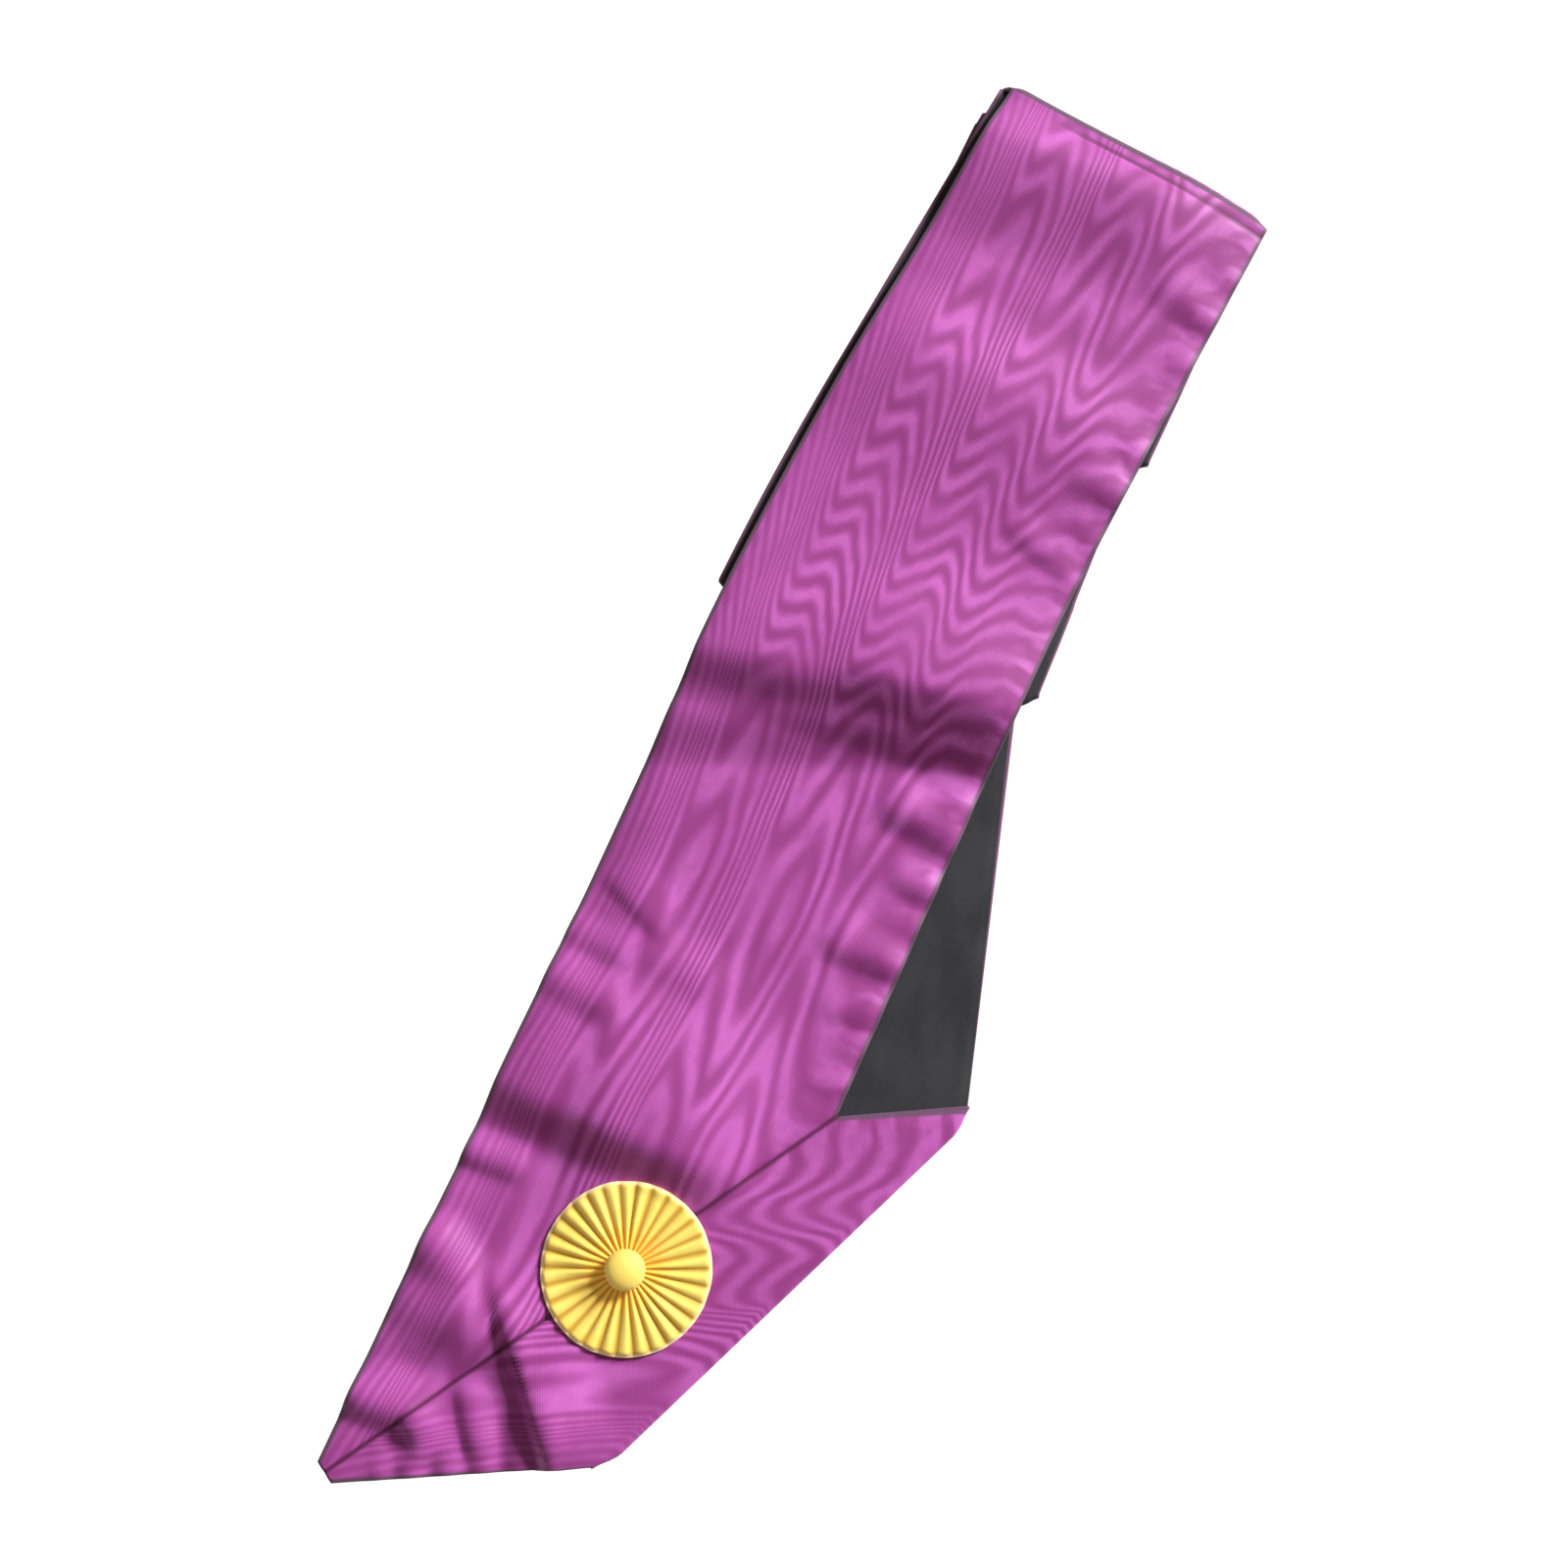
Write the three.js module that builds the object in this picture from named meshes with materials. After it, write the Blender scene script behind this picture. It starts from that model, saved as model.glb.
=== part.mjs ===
// A regalia collar: two lined straps of wide watered ribbon, mitred to a V under a pleated rosette,
// laid face up and folded flat. Millimetres and degrees, +Z up, the left strap running along +Y.
import * as THREE from 'three';

// Driving dimensions of the cloth
const ribbonWidth = 101.6;
const clothWall = 1.0;
const clothGap = 0.3;
const layerPitch = 2 * clothWall + clothGap + 0.4;
const seamGap = 0.3;
const pointAngle = 62.5;
const tipCut = 8.2;

// How a layer comes down past the edge of the layers below it: it stays up for the margin,
// then sinks over the ramp
const edgeMargin = 7;
const innerRamp = 18;
const frontRamp = 24;

// The left strap leans to the right on its way up. outer and inner: lean of its two edges at the top;
// from, to: where it starts and is complete, along the middle of the ribbon
const lean = { outer: 5.8, inner: 4.2, from: 201, to: 311 };

// One row for each stretch of a strap, from the point of the V to the centre-back seam.
// run: length along the middle of the ribbon; crease: direction of the fold that ends it;
// rows: sections along it; leans: follows the left strap's lean; level: layers that it lies above
// all along; over: pieces that it climbs
const underFront = ['lower', 'flapLow', 'middle'];
const leftStretches = [
  { name: 'front', run: 411, crease: -5, rows: 46, leans: true, level: 0, over: underFront },
  { name: 'behind', run: 189.4, crease: -1.75, rows: 12, leans: true, level: 4, over: [] },
  { name: 'backLeft', run: 39.7, crease: -2.6, rows: 2, leans: false, level: 3, over: [] },
];
const rightStretches = [
  { name: 'turned', run: 64.7, crease: 67.3, rows: 11, leans: false, level: 0, over: underFront },
  { name: 'lower', run: 195.1, crease: 30, rows: 8, leans: false, level: 0, over: [] },
  { name: 'flapLow', run: 8.3, crease: 22.6, rows: 1, leans: false, level: 1, over: [] },
  { name: 'middle', run: 113.8, crease: 11.1, rows: 10, leans: false, level: 0, over: ['lower', 'flapLow'] },
  { name: 'flapHigh', run: 16.4, crease: 9.4, rows: 1, leans: false, level: 1, over: [] },
  { name: 'upper', run: 96.8, crease: -1.9, rows: 8, leans: false, level: 0, over: ['middle', 'flapHigh'] },
  { name: 'backRight', run: 145, crease: -2.6, rows: 3, leans: false, level: 3, over: [] },
];
const layersUnderFront = 5;
const cellsAcross = 8;
const bendSteps = 4;

// Soft folds of the loose front cloth. x, y: middle of the fold; angle: the way it runs;
// length, width: its size; rise: height of its crest
const frontFolds = [
  { x: 20, y: 300, angle: 78, length: 40, width: 9, rise: 1.6 },
  { x: 17, y: 214, angle: -38, length: 34, width: 8, rise: 2.2 },
  { x: 14, y: 187, angle: -24, length: 30, width: 8, rise: 1.8 },
  { x: 42, y: 151, angle: -3, length: 60, width: 9, rise: 3.4 },
  { x: 5, y: 128, angle: -30, length: 22, width: 7, rise: 1.8 },
  { x: 4, y: 76, angle: -40, length: 20, width: 7, rise: 2.2 },
  { x: 12, y: 46, angle: 76, length: 34, width: 7, rise: 2.4 },
  { x: 34, y: 51, angle: -46, length: 48, width: 6, rise: 3.2 },
];
// Puckers along a stitched edge. Each row runs from (x, y) along angle for length
const edgePuckers = [
  { x: 101, y: 176, angle: 90, length: 118, spacing: 20, reach: 20, rise: 1.2 },
  { x: 14, y: 7, angle: 27.5, length: 62, spacing: 13, reach: 14, rise: 0.8 },
];

// Rosette and its button
const rosette = { x: 61.5, y: 98.6, radius: 26.5, pleats: 30, wall: 1.5, pleatRise: 1.1, lift: 0.6 };
const button = { radius: 6.9, height: 4.6 };

const plain = {
  face: new THREE.MeshStandardMaterial({ color: 0xc05fae, roughness: 0.5, metalness: 0 }),
  lining: new THREE.MeshStandardMaterial({ color: 0x3e3e40, roughness: 0.9, metalness: 0 }),
  yellow: new THREE.MeshStandardMaterial({ color: 0xf0c850, roughness: 0.6, metalness: 0 }),
};

// Plane geometry
const radians = THREE.MathUtils.degToRad;
const heading = (angle) => new THREE.Vector2(Math.cos(radians(angle)), Math.sin(radians(angle)));
const along = (point, direction, distance) => point.clone().addScaledVector(direction, distance);
const smooth = (t) => THREE.MathUtils.smoothstep(t, 0, 1);

function crossing(pointA, directionA, pointB, directionB) {
  const between = pointB.clone().sub(pointA);
  return along(pointA, directionA, between.cross(directionB) / directionA.cross(directionB));
}

// Sideways lean at a distance from the point of the V; share is 0 at the outer edge, 1 at the inner
function leanAt(distance, share) {
  const slope = Math.tan(radians(THREE.MathUtils.lerp(lean.outer, lean.inner, share)));
  const reach = lean.to - lean.from;
  const inside = THREE.MathUtils.clamp(distance - lean.from, 0, reach);
  const beyond = Math.max(distance - lean.to, 0);
  return slope * (inside ** 2 / (2 * reach) + beyond);
}

const seamAngle = 90 - pointAngle / 2;
const seamMiddle = heading(seamAngle).multiplyScalar(ribbonWidth / 2 / Math.sin(radians(pointAngle / 2)));

function leanPoint(point, share) {
  return new THREE.Vector2(point.x + leanAt(point.y - seamMiddle.y, share), point.y);
}

// Direction of a leaning stretch where it ends
function leanedDirection(end, direction) {
  const before = leanPoint(along(end, heading(direction), -1), 0.5);
  const way = leanPoint(end, 0.5).sub(before);
  return THREE.MathUtils.radToDeg(Math.atan2(way.y, way.x));
}

// Each stretch as a flat four-sided piece: its two edges, named for the outside and inside of the V.
// A crease mirrors the direction; a stretch that leans lies straight back along the one before it
function layOut(stretches, firstHeading, firstSide) {
  let middle = seamMiddle;
  let direction = firstHeading;
  let side = firstSide;
  let creaseIn = seamAngle;
  return stretches.map((row, index) => {
    const forward = heading(direction);
    const outward = heading(direction + 90 * side);
    const outerLine = along(middle, outward, ribbonWidth / 2);
    const innerLine = along(middle, outward, -ribbonWidth / 2);
    const end = along(middle, forward, row.run);
    const foldIn = heading(creaseIn);
    const foldOut = heading(row.crease);
    const piece = {
      ...row,
      forward,
      outerIn: crossing(outerLine, forward, middle, foldIn),
      innerIn: crossing(innerLine, forward, middle, foldIn),
      outerOut: crossing(outerLine, forward, end, foldOut),
      innerOut: crossing(innerLine, forward, end, foldOut),
    };
    const staysLeaning = row.leans && stretches[index + 1]?.leans;
    const leaving = row.leans ? leanedDirection(end, direction) : direction;
    middle = row.leans && !staysLeaning ? leanPoint(end, 0.5) : end;
    direction = staysLeaning ? direction + 180 : 2 * row.crease - leaving;
    side = -side;
    creaseIn = row.crease;
    return piece;
  });
}

const leftPieces = layOut(leftStretches, 90, 1);
const rightPieces = layOut(rightStretches, 90 - pointAngle, -1);

// The right strap ends on the left strap's centre-back seam
const backSeam = leftPieces.at(-1);
rightPieces.at(-1).outerOut = backSeam.outerOut;
rightPieces.at(-1).innerOut = backSeam.innerOut;

// Corners of every piece that another one climbs, going round it
function cornersOf(piece) {
  return [piece.outerIn, piece.outerOut, piece.innerOut, piece.innerIn];
}
const outlines = Object.fromEntries(rightPieces.map((piece) => [piece.name, cornersOf(piece)]));
outlines.behind = cornersOf(leftPieces[1]).map((corner, index) => leanPoint(corner, index < 2 ? 0 : 1));

// How far a point lies outside a four-sided outline, zero inside
function distanceOutside(point, corners) {
  const centre = corners.reduce((sum, corner) => sum.add(corner), new THREE.Vector2()).divideScalar(4);
  let farthest = 0;
  corners.forEach((corner, index) => {
    const side = corners[(index + 1) % 4].clone().sub(corner);
    const length = side.length();
    if (length < 1e-6) return;
    const offset = side.cross(point.clone().sub(corner)) / length;
    const inward = Math.sign(side.cross(centre.clone().sub(corner)));
    farthest = Math.max(farthest, -offset * inward);
  });
  return farthest;
}

// How much of a piece's height a layer above it still has at a point: 1 on it, 0 past the ramp
function coverOf(point, name, ramp) {
  const outside = distanceOutside(point, outlines[name]) - edgeMargin;
  return smooth(1 - Math.max(outside, 0) / ramp);
}

// Height of a piece's middle surface. The front cloth also climbs the whole folded stack
function layerHeight(point, piece) {
  const ramp = isFront(piece) ? frontRamp : innerRamp;
  let layers = piece.level;
  for (const name of piece.over) layers += coverOf(point, name, ramp);
  if (isFront(piece)) layers = THREE.MathUtils.lerp(layers, layersUnderFront, coverOf(point, 'behind', ramp));
  return clothWall + clothGap / 2 + layerPitch * layers;
}

// Height that the soft folds and puckers add to the front cloth
function foldHeight(point) {
  let height = 0;
  for (const fold of frontFolds) {
    const offset = point.clone().sub(new THREE.Vector2(fold.x, fold.y));
    const lengthwise = offset.dot(heading(fold.angle)) / (fold.length / 2);
    const crosswise = offset.cross(heading(fold.angle)) / fold.width;
    height += fold.rise * smooth(1 - Math.abs(lengthwise)) * smooth(1 - Math.abs(crosswise));
  }
  for (const row of edgePuckers) {
    const offset = point.clone().sub(new THREE.Vector2(row.x, row.y));
    const distance = offset.dot(heading(row.angle));
    const inward = Math.abs(offset.cross(heading(row.angle)));
    const fade = smooth(Math.min(distance, row.length - distance) / row.spacing);
    const wave = 0.5 - 0.5 * Math.cos((2 * Math.PI * distance) / row.spacing);
    height += row.rise * fade * wave * smooth(1 - inward / row.reach);
  }
  return height;
}

function isFront(piece) {
  return piece.name === 'front' || piece.name === 'turned';
}

function surfacePoint(point, piece) {
  const folds = isFront(piece) ? foldHeight(point) : 0;
  return new THREE.Vector3(point.x, point.y, layerHeight(point, piece) + folds);
}

// One section: points across the ribbon from its outer edge to its inner edge
function acrossRibbon(outer, inner, piece) {
  return Array.from({ length: cellsAcross + 1 }, (_, cell) => {
    const share = cell / cellsAcross;
    const flat = outer.clone().lerp(inner, share);
    return surfacePoint(piece.leans ? leanPoint(flat, share) : flat, piece);
  });
}

// Sections along one stretch. The first stretch starts at the mitre, with the tip cut blunt
function stretchSections(piece, isFirst, isLast) {
  const sections = [];
  const outer = piece.outerIn.clone();
  const inner = piece.innerIn.clone();
  if (isFirst) {
    const mitreShift = seamGap / 2 / Math.sin(radians(pointAngle / 2));
    const cutMiddle = along(heading(seamAngle).multiplyScalar(tipCut), piece.forward, mitreShift);
    inner.addScaledVector(piece.forward, mitreShift);
    sections.push(acrossRibbon(cutMiddle, inner, piece));
    outer.addScaledVector(piece.forward, tipCut / Math.cos(radians(pointAngle / 2)));
    inner.addScaledVector(piece.forward, 3);
  }
  const endShift = isLast ? -seamGap / 2 : 0;
  const outerEnd = along(piece.outerOut, piece.forward, endShift);
  const innerEnd = along(piece.innerOut, piece.forward, endShift);
  for (let row = 0; row <= piece.rows; row += 1) {
    const share = row / piece.rows;
    sections.push(acrossRibbon(outer.clone().lerp(outerEnd, share), inner.clone().lerp(innerEnd, share), piece));
  }
  return sections;
}

// Half turn of the cloth round a crease, between the last section of one stretch and the next
function bendSections(before, after, piece) {
  const crease = heading(piece.crease);
  const outward = new THREE.Vector2(-crease.y, crease.x);
  if (outward.dot(piece.forward) < 0) outward.negate();
  const sections = [];
  for (let step = 1; step < bendSteps; step += 1) {
    const turn = (Math.PI * step) / bendSteps;
    sections.push(before.map((from, cell) => {
      const to = after[cell];
      const radius = (from.z - to.z) / 2;
      const reach = Math.abs(radius) * Math.sin(turn);
      const x = THREE.MathUtils.lerp(from.x, to.x, step / bendSteps) + outward.x * reach;
      const y = THREE.MathUtils.lerp(from.y, to.y, step / bendSteps) + outward.y * reach;
      return new THREE.Vector3(x, y, to.z + radius * (1 + Math.cos(turn)));
    }));
  }
  return sections;
}

// The whole middle surface of a strap, as a list of sections
function strapSurface(pieces) {
  const sections = [];
  let previous = null;
  pieces.forEach((piece, index) => {
    const next = stretchSections(piece, index === 0, index === pieces.length - 1);
    if (previous) sections.push(...bendSections(sections.at(-1), next[0], previous));
    sections.push(...next);
    previous = piece;
  });
  return sections;
}

// Direction in which the ribbon's face looks, at each point of the middle surface
function faceNormals(sections, faceSign) {
  const last = sections.length - 1;
  return sections.map((section, row) => section.map((_, cell) => {
    const lengthwise = sections[Math.min(row + 1, last)][cell].clone();
    lengthwise.sub(sections[Math.max(row - 1, 0)][cell]);
    const crosswise = section[Math.min(cell + 1, cellsAcross)].clone().sub(section[Math.max(cell - 1, 0)]);
    return crosswise.cross(lengthwise).multiplyScalar(faceSign).normalize();
  }));
}

// A closed body from two grids of points, the first one on the side that the face looks to
function slabBetween(front, back, faceSign) {
  const rows = front.length;
  const columns = front[0].length;
  const positions = [...front.flat(), ...back.flat()].flatMap((point) => point.toArray());
  const corner = (layer, row, cell) => layer * rows * columns + row * columns + cell;
  const index = [];
  const addQuad = (a, b, c, d) => {
    const order = faceSign > 0 ? [a, b, c, a, c, d] : [a, c, b, a, d, c];
    index.push(...order);
  };
  for (let row = 0; row < rows - 1; row += 1) {
    for (let cell = 0; cell < columns - 1; cell += 1) {
      addQuad(corner(0, row, cell), corner(0, row, cell + 1), corner(0, row + 1, cell + 1), corner(0, row + 1, cell));
      addQuad(corner(1, row, cell), corner(1, row + 1, cell), corner(1, row + 1, cell + 1), corner(1, row, cell + 1));
    }
  }
  for (let row = 0; row < rows - 1; row += 1) {
    const far = columns - 1;
    addQuad(corner(0, row, 0), corner(0, row + 1, 0), corner(1, row + 1, 0), corner(1, row, 0));
    addQuad(corner(0, row, far), corner(1, row, far), corner(1, row + 1, far), corner(0, row + 1, far));
  }
  for (let cell = 0; cell < columns - 1; cell += 1) {
    const far = rows - 1;
    addQuad(corner(0, 0, cell), corner(1, 0, cell), corner(1, 0, cell + 1), corner(0, 0, cell + 1));
    addQuad(corner(0, far, cell), corner(0, far, cell + 1), corner(1, far, cell + 1), corner(1, far, cell));
  }
  const geometry = new THREE.BufferGeometry();
  geometry.setAttribute('position', new THREE.Float32BufferAttribute(positions, 3));
  geometry.setIndex(index);
  geometry.computeVertexNormals();
  return geometry;
}

// One cloth of a strap, between two distances from the middle surface
function strapCloth(sections, faceSign, nearFace, nearLining) {
  const normals = faceNormals(sections, faceSign);
  const shifted = (distance) => sections.map((section, row) => section.map((point, cell) => (
    point.clone().addScaledVector(normals[row][cell], distance)
  )));
  return slabBetween(shifted(nearFace), shifted(nearLining), faceSign);
}

// Top of the front cloth at a point of the plan
function frontTop(x, y) {
  return surfacePoint(new THREE.Vector2(x, y), leftPieces[0]).z + clothWall + clothGap / 2;
}

// Height of the pleated ribbon's upper side above its underside, at a share of the radius
function pleatedHeight(share, isCrest) {
  const gathered = 1 + 0.7 * (1 - share) ** 2;
  const rim = smooth((1 - share) / 0.08);
  const crest = isCrest ? rosette.pleatRise * (0.35 + 0.65 * rim) : 0;
  return rosette.wall * gathered + crest;
}

// The rosette: a disc of ribbon with radial pleats, lying on the front cloth
function rosetteGeometry() {
  const rings = [0.12, 0.26, 0.45, 0.7, 0.93, 1];
  const spokes = rosette.pleats * 2;
  const ringPoint = (share, spoke, upper) => {
    const turn = (2 * Math.PI * spoke) / spokes;
    const x = rosette.x + rosette.radius * share * Math.cos(turn);
    const y = rosette.y + rosette.radius * share * Math.sin(turn);
    const base = frontTop(x, y) + rosette.lift;
    return new THREE.Vector3(x, y, upper ? base + pleatedHeight(share, spoke % 2 === 0) : base);
  };
  const positions = [];
  for (const upper of [true, false]) {
    for (const share of rings) {
      for (let spoke = 0; spoke < spokes; spoke += 1) positions.push(...ringPoint(share, spoke, upper).toArray());
    }
  }
  const corner = (layer, ring, spoke) => (layer * rings.length + ring) * spokes + (spoke % spokes);
  const index = [];
  const addQuad = (a, b, c, d) => index.push(a, b, c, a, c, d);
  for (let spoke = 0; spoke < spokes; spoke += 1) {
    const next = spoke + 1;
    for (let ring = 0; ring < rings.length - 1; ring += 1) {
      addQuad(corner(0, ring, spoke), corner(0, ring + 1, spoke), corner(0, ring + 1, next), corner(0, ring, next));
      addQuad(corner(1, ring, spoke), corner(1, ring, next), corner(1, ring + 1, next), corner(1, ring + 1, spoke));
    }
    const rim = rings.length - 1;
    addQuad(corner(0, rim, spoke), corner(1, rim, spoke), corner(1, rim, next), corner(0, rim, next));
    addQuad(corner(0, 0, spoke), corner(0, 0, next), corner(1, 0, next), corner(1, 0, spoke));
  }
  const geometry = new THREE.BufferGeometry();
  geometry.setAttribute('position', new THREE.Float32BufferAttribute(positions, 3));
  geometry.setIndex(index);
  geometry.computeVertexNormals();
  return geometry;
}

// The covered button: a low dome with a rounded edge, turned about its own axis
function buttonGeometry() {
  const profile = [[0, 0], [0.82, 0], [0.97, 0.16], [1, 0.34], [0.93, 0.58], [0.74, 0.8], [0.42, 0.95], [0, 1]];
  const points = profile.map(([across, up]) => new THREE.Vector2(across * button.radius, up * button.height));
  const geometry = new THREE.LatheGeometry(points, 32);
  geometry.rotateX(Math.PI / 2);
  const seat = frontTop(rosette.x, rosette.y) + rosette.lift + pleatedHeight(0, true) + clothGap;
  geometry.translate(rosette.x, rosette.y, seat);
  return geometry;
}

function named(name, geometry, material) {
  const mesh = new THREE.Mesh(geometry, material);
  mesh.name = name;
  return mesh;
}

// A strap is two cloths: the watered ribbon and its lining, with a small gap between them
function strap(side, pieces, faceSign) {
  const sections = strapSurface(pieces);
  const near = clothGap / 2;
  const far = near + clothWall;
  return [
    named(`strap_${side}_face`, strapCloth(sections, faceSign, far, near), plain.face),
    named(`strap_${side}_lining`, strapCloth(sections, faceSign, -near, -far), plain.lining),
  ];
}

const collar = new THREE.Group();
collar.add(...strap('left', leftPieces, 1));
collar.add(...strap('right', rightPieces, -1));
collar.add(named('rosette_ribbon', rosetteGeometry(), plain.yellow));
collar.add(named('rosette_button', buttonGeometry(), plain.yellow));

// The origin is under the middle of the whole collar, on the surface that it lies on
const size = new THREE.Box3().setFromObject(collar);
const middle = size.getCenter(new THREE.Vector3());
collar.position.set(-middle.x, -middle.y, -size.min.z);

export default collar;
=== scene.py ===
# %% [markdown]
# A regalia collar is two straps of wide watered ribbon. Each strap is lined with dark cloth, the two
# are sewn together in a mitre at the point of the V, and a pleated rosette with a covered button
# sits on that seam. Here it lies face up on a table, folded flat. The packed CAD model is loaded
# first, because every piece below has to lie where the model says.

# %% Load the frame
import math
import bpy
import numpy as np
from mathutils import Matrix, Vector


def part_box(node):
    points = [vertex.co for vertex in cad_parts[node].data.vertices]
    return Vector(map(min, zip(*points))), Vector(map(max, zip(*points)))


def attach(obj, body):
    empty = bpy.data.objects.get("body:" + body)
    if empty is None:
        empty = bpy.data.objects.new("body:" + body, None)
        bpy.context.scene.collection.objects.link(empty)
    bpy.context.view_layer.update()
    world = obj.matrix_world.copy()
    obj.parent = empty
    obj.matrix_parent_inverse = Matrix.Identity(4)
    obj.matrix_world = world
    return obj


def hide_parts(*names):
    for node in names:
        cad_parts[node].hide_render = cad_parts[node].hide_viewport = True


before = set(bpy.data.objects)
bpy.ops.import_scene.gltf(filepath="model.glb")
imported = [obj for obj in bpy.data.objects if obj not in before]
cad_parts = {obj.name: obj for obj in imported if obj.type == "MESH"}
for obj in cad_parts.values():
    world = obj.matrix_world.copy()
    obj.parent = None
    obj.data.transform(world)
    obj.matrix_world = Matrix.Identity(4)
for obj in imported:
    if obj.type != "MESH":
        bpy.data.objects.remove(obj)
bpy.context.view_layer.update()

# %% [markdown]
# The collar was drawn with the sharp point of the V at zero and the left strap running along +Y, in
# millimetres. That is the easiest frame to think in, so the straps are laid out in it here too, and
# every finished mesh is moved into the model's own place. The button says how far that is: its
# centre is known in both.

# %% Millimetres and the way back to the model's place
MM = 0.001
ROSETTE_X = 61.5
ROSETTE_Y = 98.6
button_low, button_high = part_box("rosette_button")
plan_shift = np.array([
    (button_low[0] + button_high[0]) / 2 - ROSETTE_X * MM,
    (button_low[1] + button_high[1]) / 2 - ROSETTE_Y * MM,
    0.0,
])
print("shift to the model's place in mm:", np.round(plan_shift * 1000, 2))


def heading(angle):
    """Unit direction in the plan at an angle in degrees."""
    return np.array([math.cos(math.radians(angle)), math.sin(math.radians(angle))])


def cross2(first, second):
    """Signed area that two directions in the plan span; zero when they are parallel."""
    return first[..., 0] * second[..., 1] - first[..., 1] * second[..., 0]


def smooth(share):
    """Rises from 0 to 1 with a soft start and a soft end, and stays level outside that range."""
    clamped = np.clip(share, 0, 1)
    return clamped * clamped * (3 - 2 * clamped)


# %% [markdown]
# The camera stands where the photographer's did: almost straight above the collar, tipped back a
# little, with the picture turned so that the straps run up to the right. It could be placed by
# eye, but a written rule is easier to correct: an aim point on the table, a tilt, a distance, and
# the direction that is up in the picture.

# %% The camera
PICTURE_RIGHT = Vector((0.9107, 0.4131, 0))
PICTURE_UP = Vector((-0.4131, 0.9107, 0))
AIM_X = 43.0
AIM_Y = 256.7
CAMERA_DISTANCE = 0.640
CAMERA_TILT = 9.0
CAMERA_LENS = 45.65
SENSOR_WIDTH = 36


def place_camera():
    aim = Vector((AIM_X * MM + plan_shift[0], AIM_Y * MM + plan_shift[1], 0))
    tilt = math.radians(CAMERA_TILT)
    back = Vector((0, 0, 1)) * math.cos(tilt) - PICTURE_UP * math.sin(tilt)
    camera = bpy.data.objects.new("camera", bpy.data.cameras.new("camera"))
    bpy.context.collection.objects.link(camera)
    axes = Matrix((PICTURE_RIGHT, back.cross(PICTURE_RIGHT), back)).transposed()
    camera.matrix_world = Matrix.Translation(aim + back * CAMERA_DISTANCE) @ axes.to_4x4()
    camera.data.lens = CAMERA_LENS
    camera.data.sensor_width = SENSOR_WIDTH
    bpy.context.scene.camera = camera
    return camera


camera = place_camera()
print("camera at", [round(value, 3) for value in camera.matrix_world.translation])

# %% [markdown]
# A strap is one long flat ribbon that turns back on itself at each fold. Seen from above, every
# stretch between two folds is a four-sided piece, and a fold mirrors the direction of the ribbon
# about its crease. So a strap can be walked like a path: go forward, meet a crease, turn, go on.
# The rows say how far each stretch runs and at what angle the fold at its end lies.

# %% How the two straps run
RIBBON_WIDTH = 101.6
# Angle between the two straps at the point of the V; the mitre seam lies halfway
POINT_ANGLE = 62.5
HALF_POINT = math.radians(POINT_ANGLE / 2)
SEAM_ANGLE = 90 - POINT_ANGLE / 2
SEAM_GAP = 0.01
SEAM_MIDDLE = heading(SEAM_ANGLE) * RIBBON_WIDTH / 2 / math.sin(HALF_POINT)
TIP_CUT = 6.4
# The left strap leans sideways, more at its outer edge, and the bend grows between these lengths
LEAN_OUTER = 5.8
LEAN_INNER = 4.2
LEAN_FROM = 201
LEAN_TO = 311
# A hidden stretch slips sideways from its low place to its top place between these two heights
SLIP_FROM = 380
SLIP_TO = 490
UNDER_FRONT = ("lower", "flap_low", "middle")


def stretch(name, run, crease, level, over=(), leans=False, row_step=2.6, aside=(0.0, 0.0),
            rounding=1.3):
    """
    One stretch between two folds. level and over say how many layers and which pieces carry it.
    aside is its sideways slip in mm, low down and at the top fold, and rounding is how many mm
    the corners of its fold are drawn in.
    """
    return dict(name=name, run=run, crease=crease, level=level, over=over, leans=leans,
                row_step=row_step, aside=aside, rounding=rounding)


LEFT_STRETCHES = [
    stretch("front", 409.8, -6.4, 0, UNDER_FRONT, leans=True, row_step=1.5, rounding=0.3),
    stretch("behind", 189.4, -1.75, 4, leans=True, row_step=4, aside=(-3.0, -3.6)),
    stretch("back_left", 39.7, -2.6, 3, row_step=5, aside=(-1.5, -1.5), rounding=0.0),
]
RIGHT_STRETCHES = [
    stretch("turned", 64.7, 67.3, 0, UNDER_FRONT, row_step=1.1),
    stretch("lower", 195.1, 30, 0, row_step=2.2),
    stretch("flap_low", 8.3, 22.6, 1),
    stretch("middle", 113.8, 11.1, 0, ("lower", "flap_low"), row_step=3),
    stretch("flap_high", 16.4, 9.4, 1),
    stretch("upper", 96.8, -1.9, 0, ("middle", "flap_high"), row_step=3),
    stretch("back_right", 145, -2.6, 3, row_step=4, aside=(-1.0, 2.0), rounding=0.0),
]


def lean_at(distance, share):
    """Sideways lean of the left strap; share is 0 at its outer edge and 1 at its inner edge."""
    slope = np.tan(np.radians(LEAN_OUTER + (LEAN_INNER - LEAN_OUTER) * share))
    inside = np.clip(distance - LEAN_FROM, 0, LEAN_TO - LEAN_FROM)
    beyond = np.maximum(distance - LEAN_TO, 0)
    return slope * (inside ** 2 / (2 * (LEAN_TO - LEAN_FROM)) + beyond)


def lean_point(point, share):
    """A point of the plan moved by the lean."""
    return np.array([point[0] + lean_at(point[1] - SEAM_MIDDLE[1], share), point[1]])


def leaned_direction(end, direction):
    """Direction of the leaned middle line where a stretch ends, in degrees."""
    way = lean_point(end, 0.5) - lean_point(end - heading(direction), 0.5)
    return math.degrees(math.atan2(way[1], way[0]))


def crossing(point, direction, other_point, other_direction):
    """The point where two lines in the plan meet."""
    gap = cross2(other_point - point, other_direction)
    return point + direction * gap / cross2(direction, other_direction)


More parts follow.
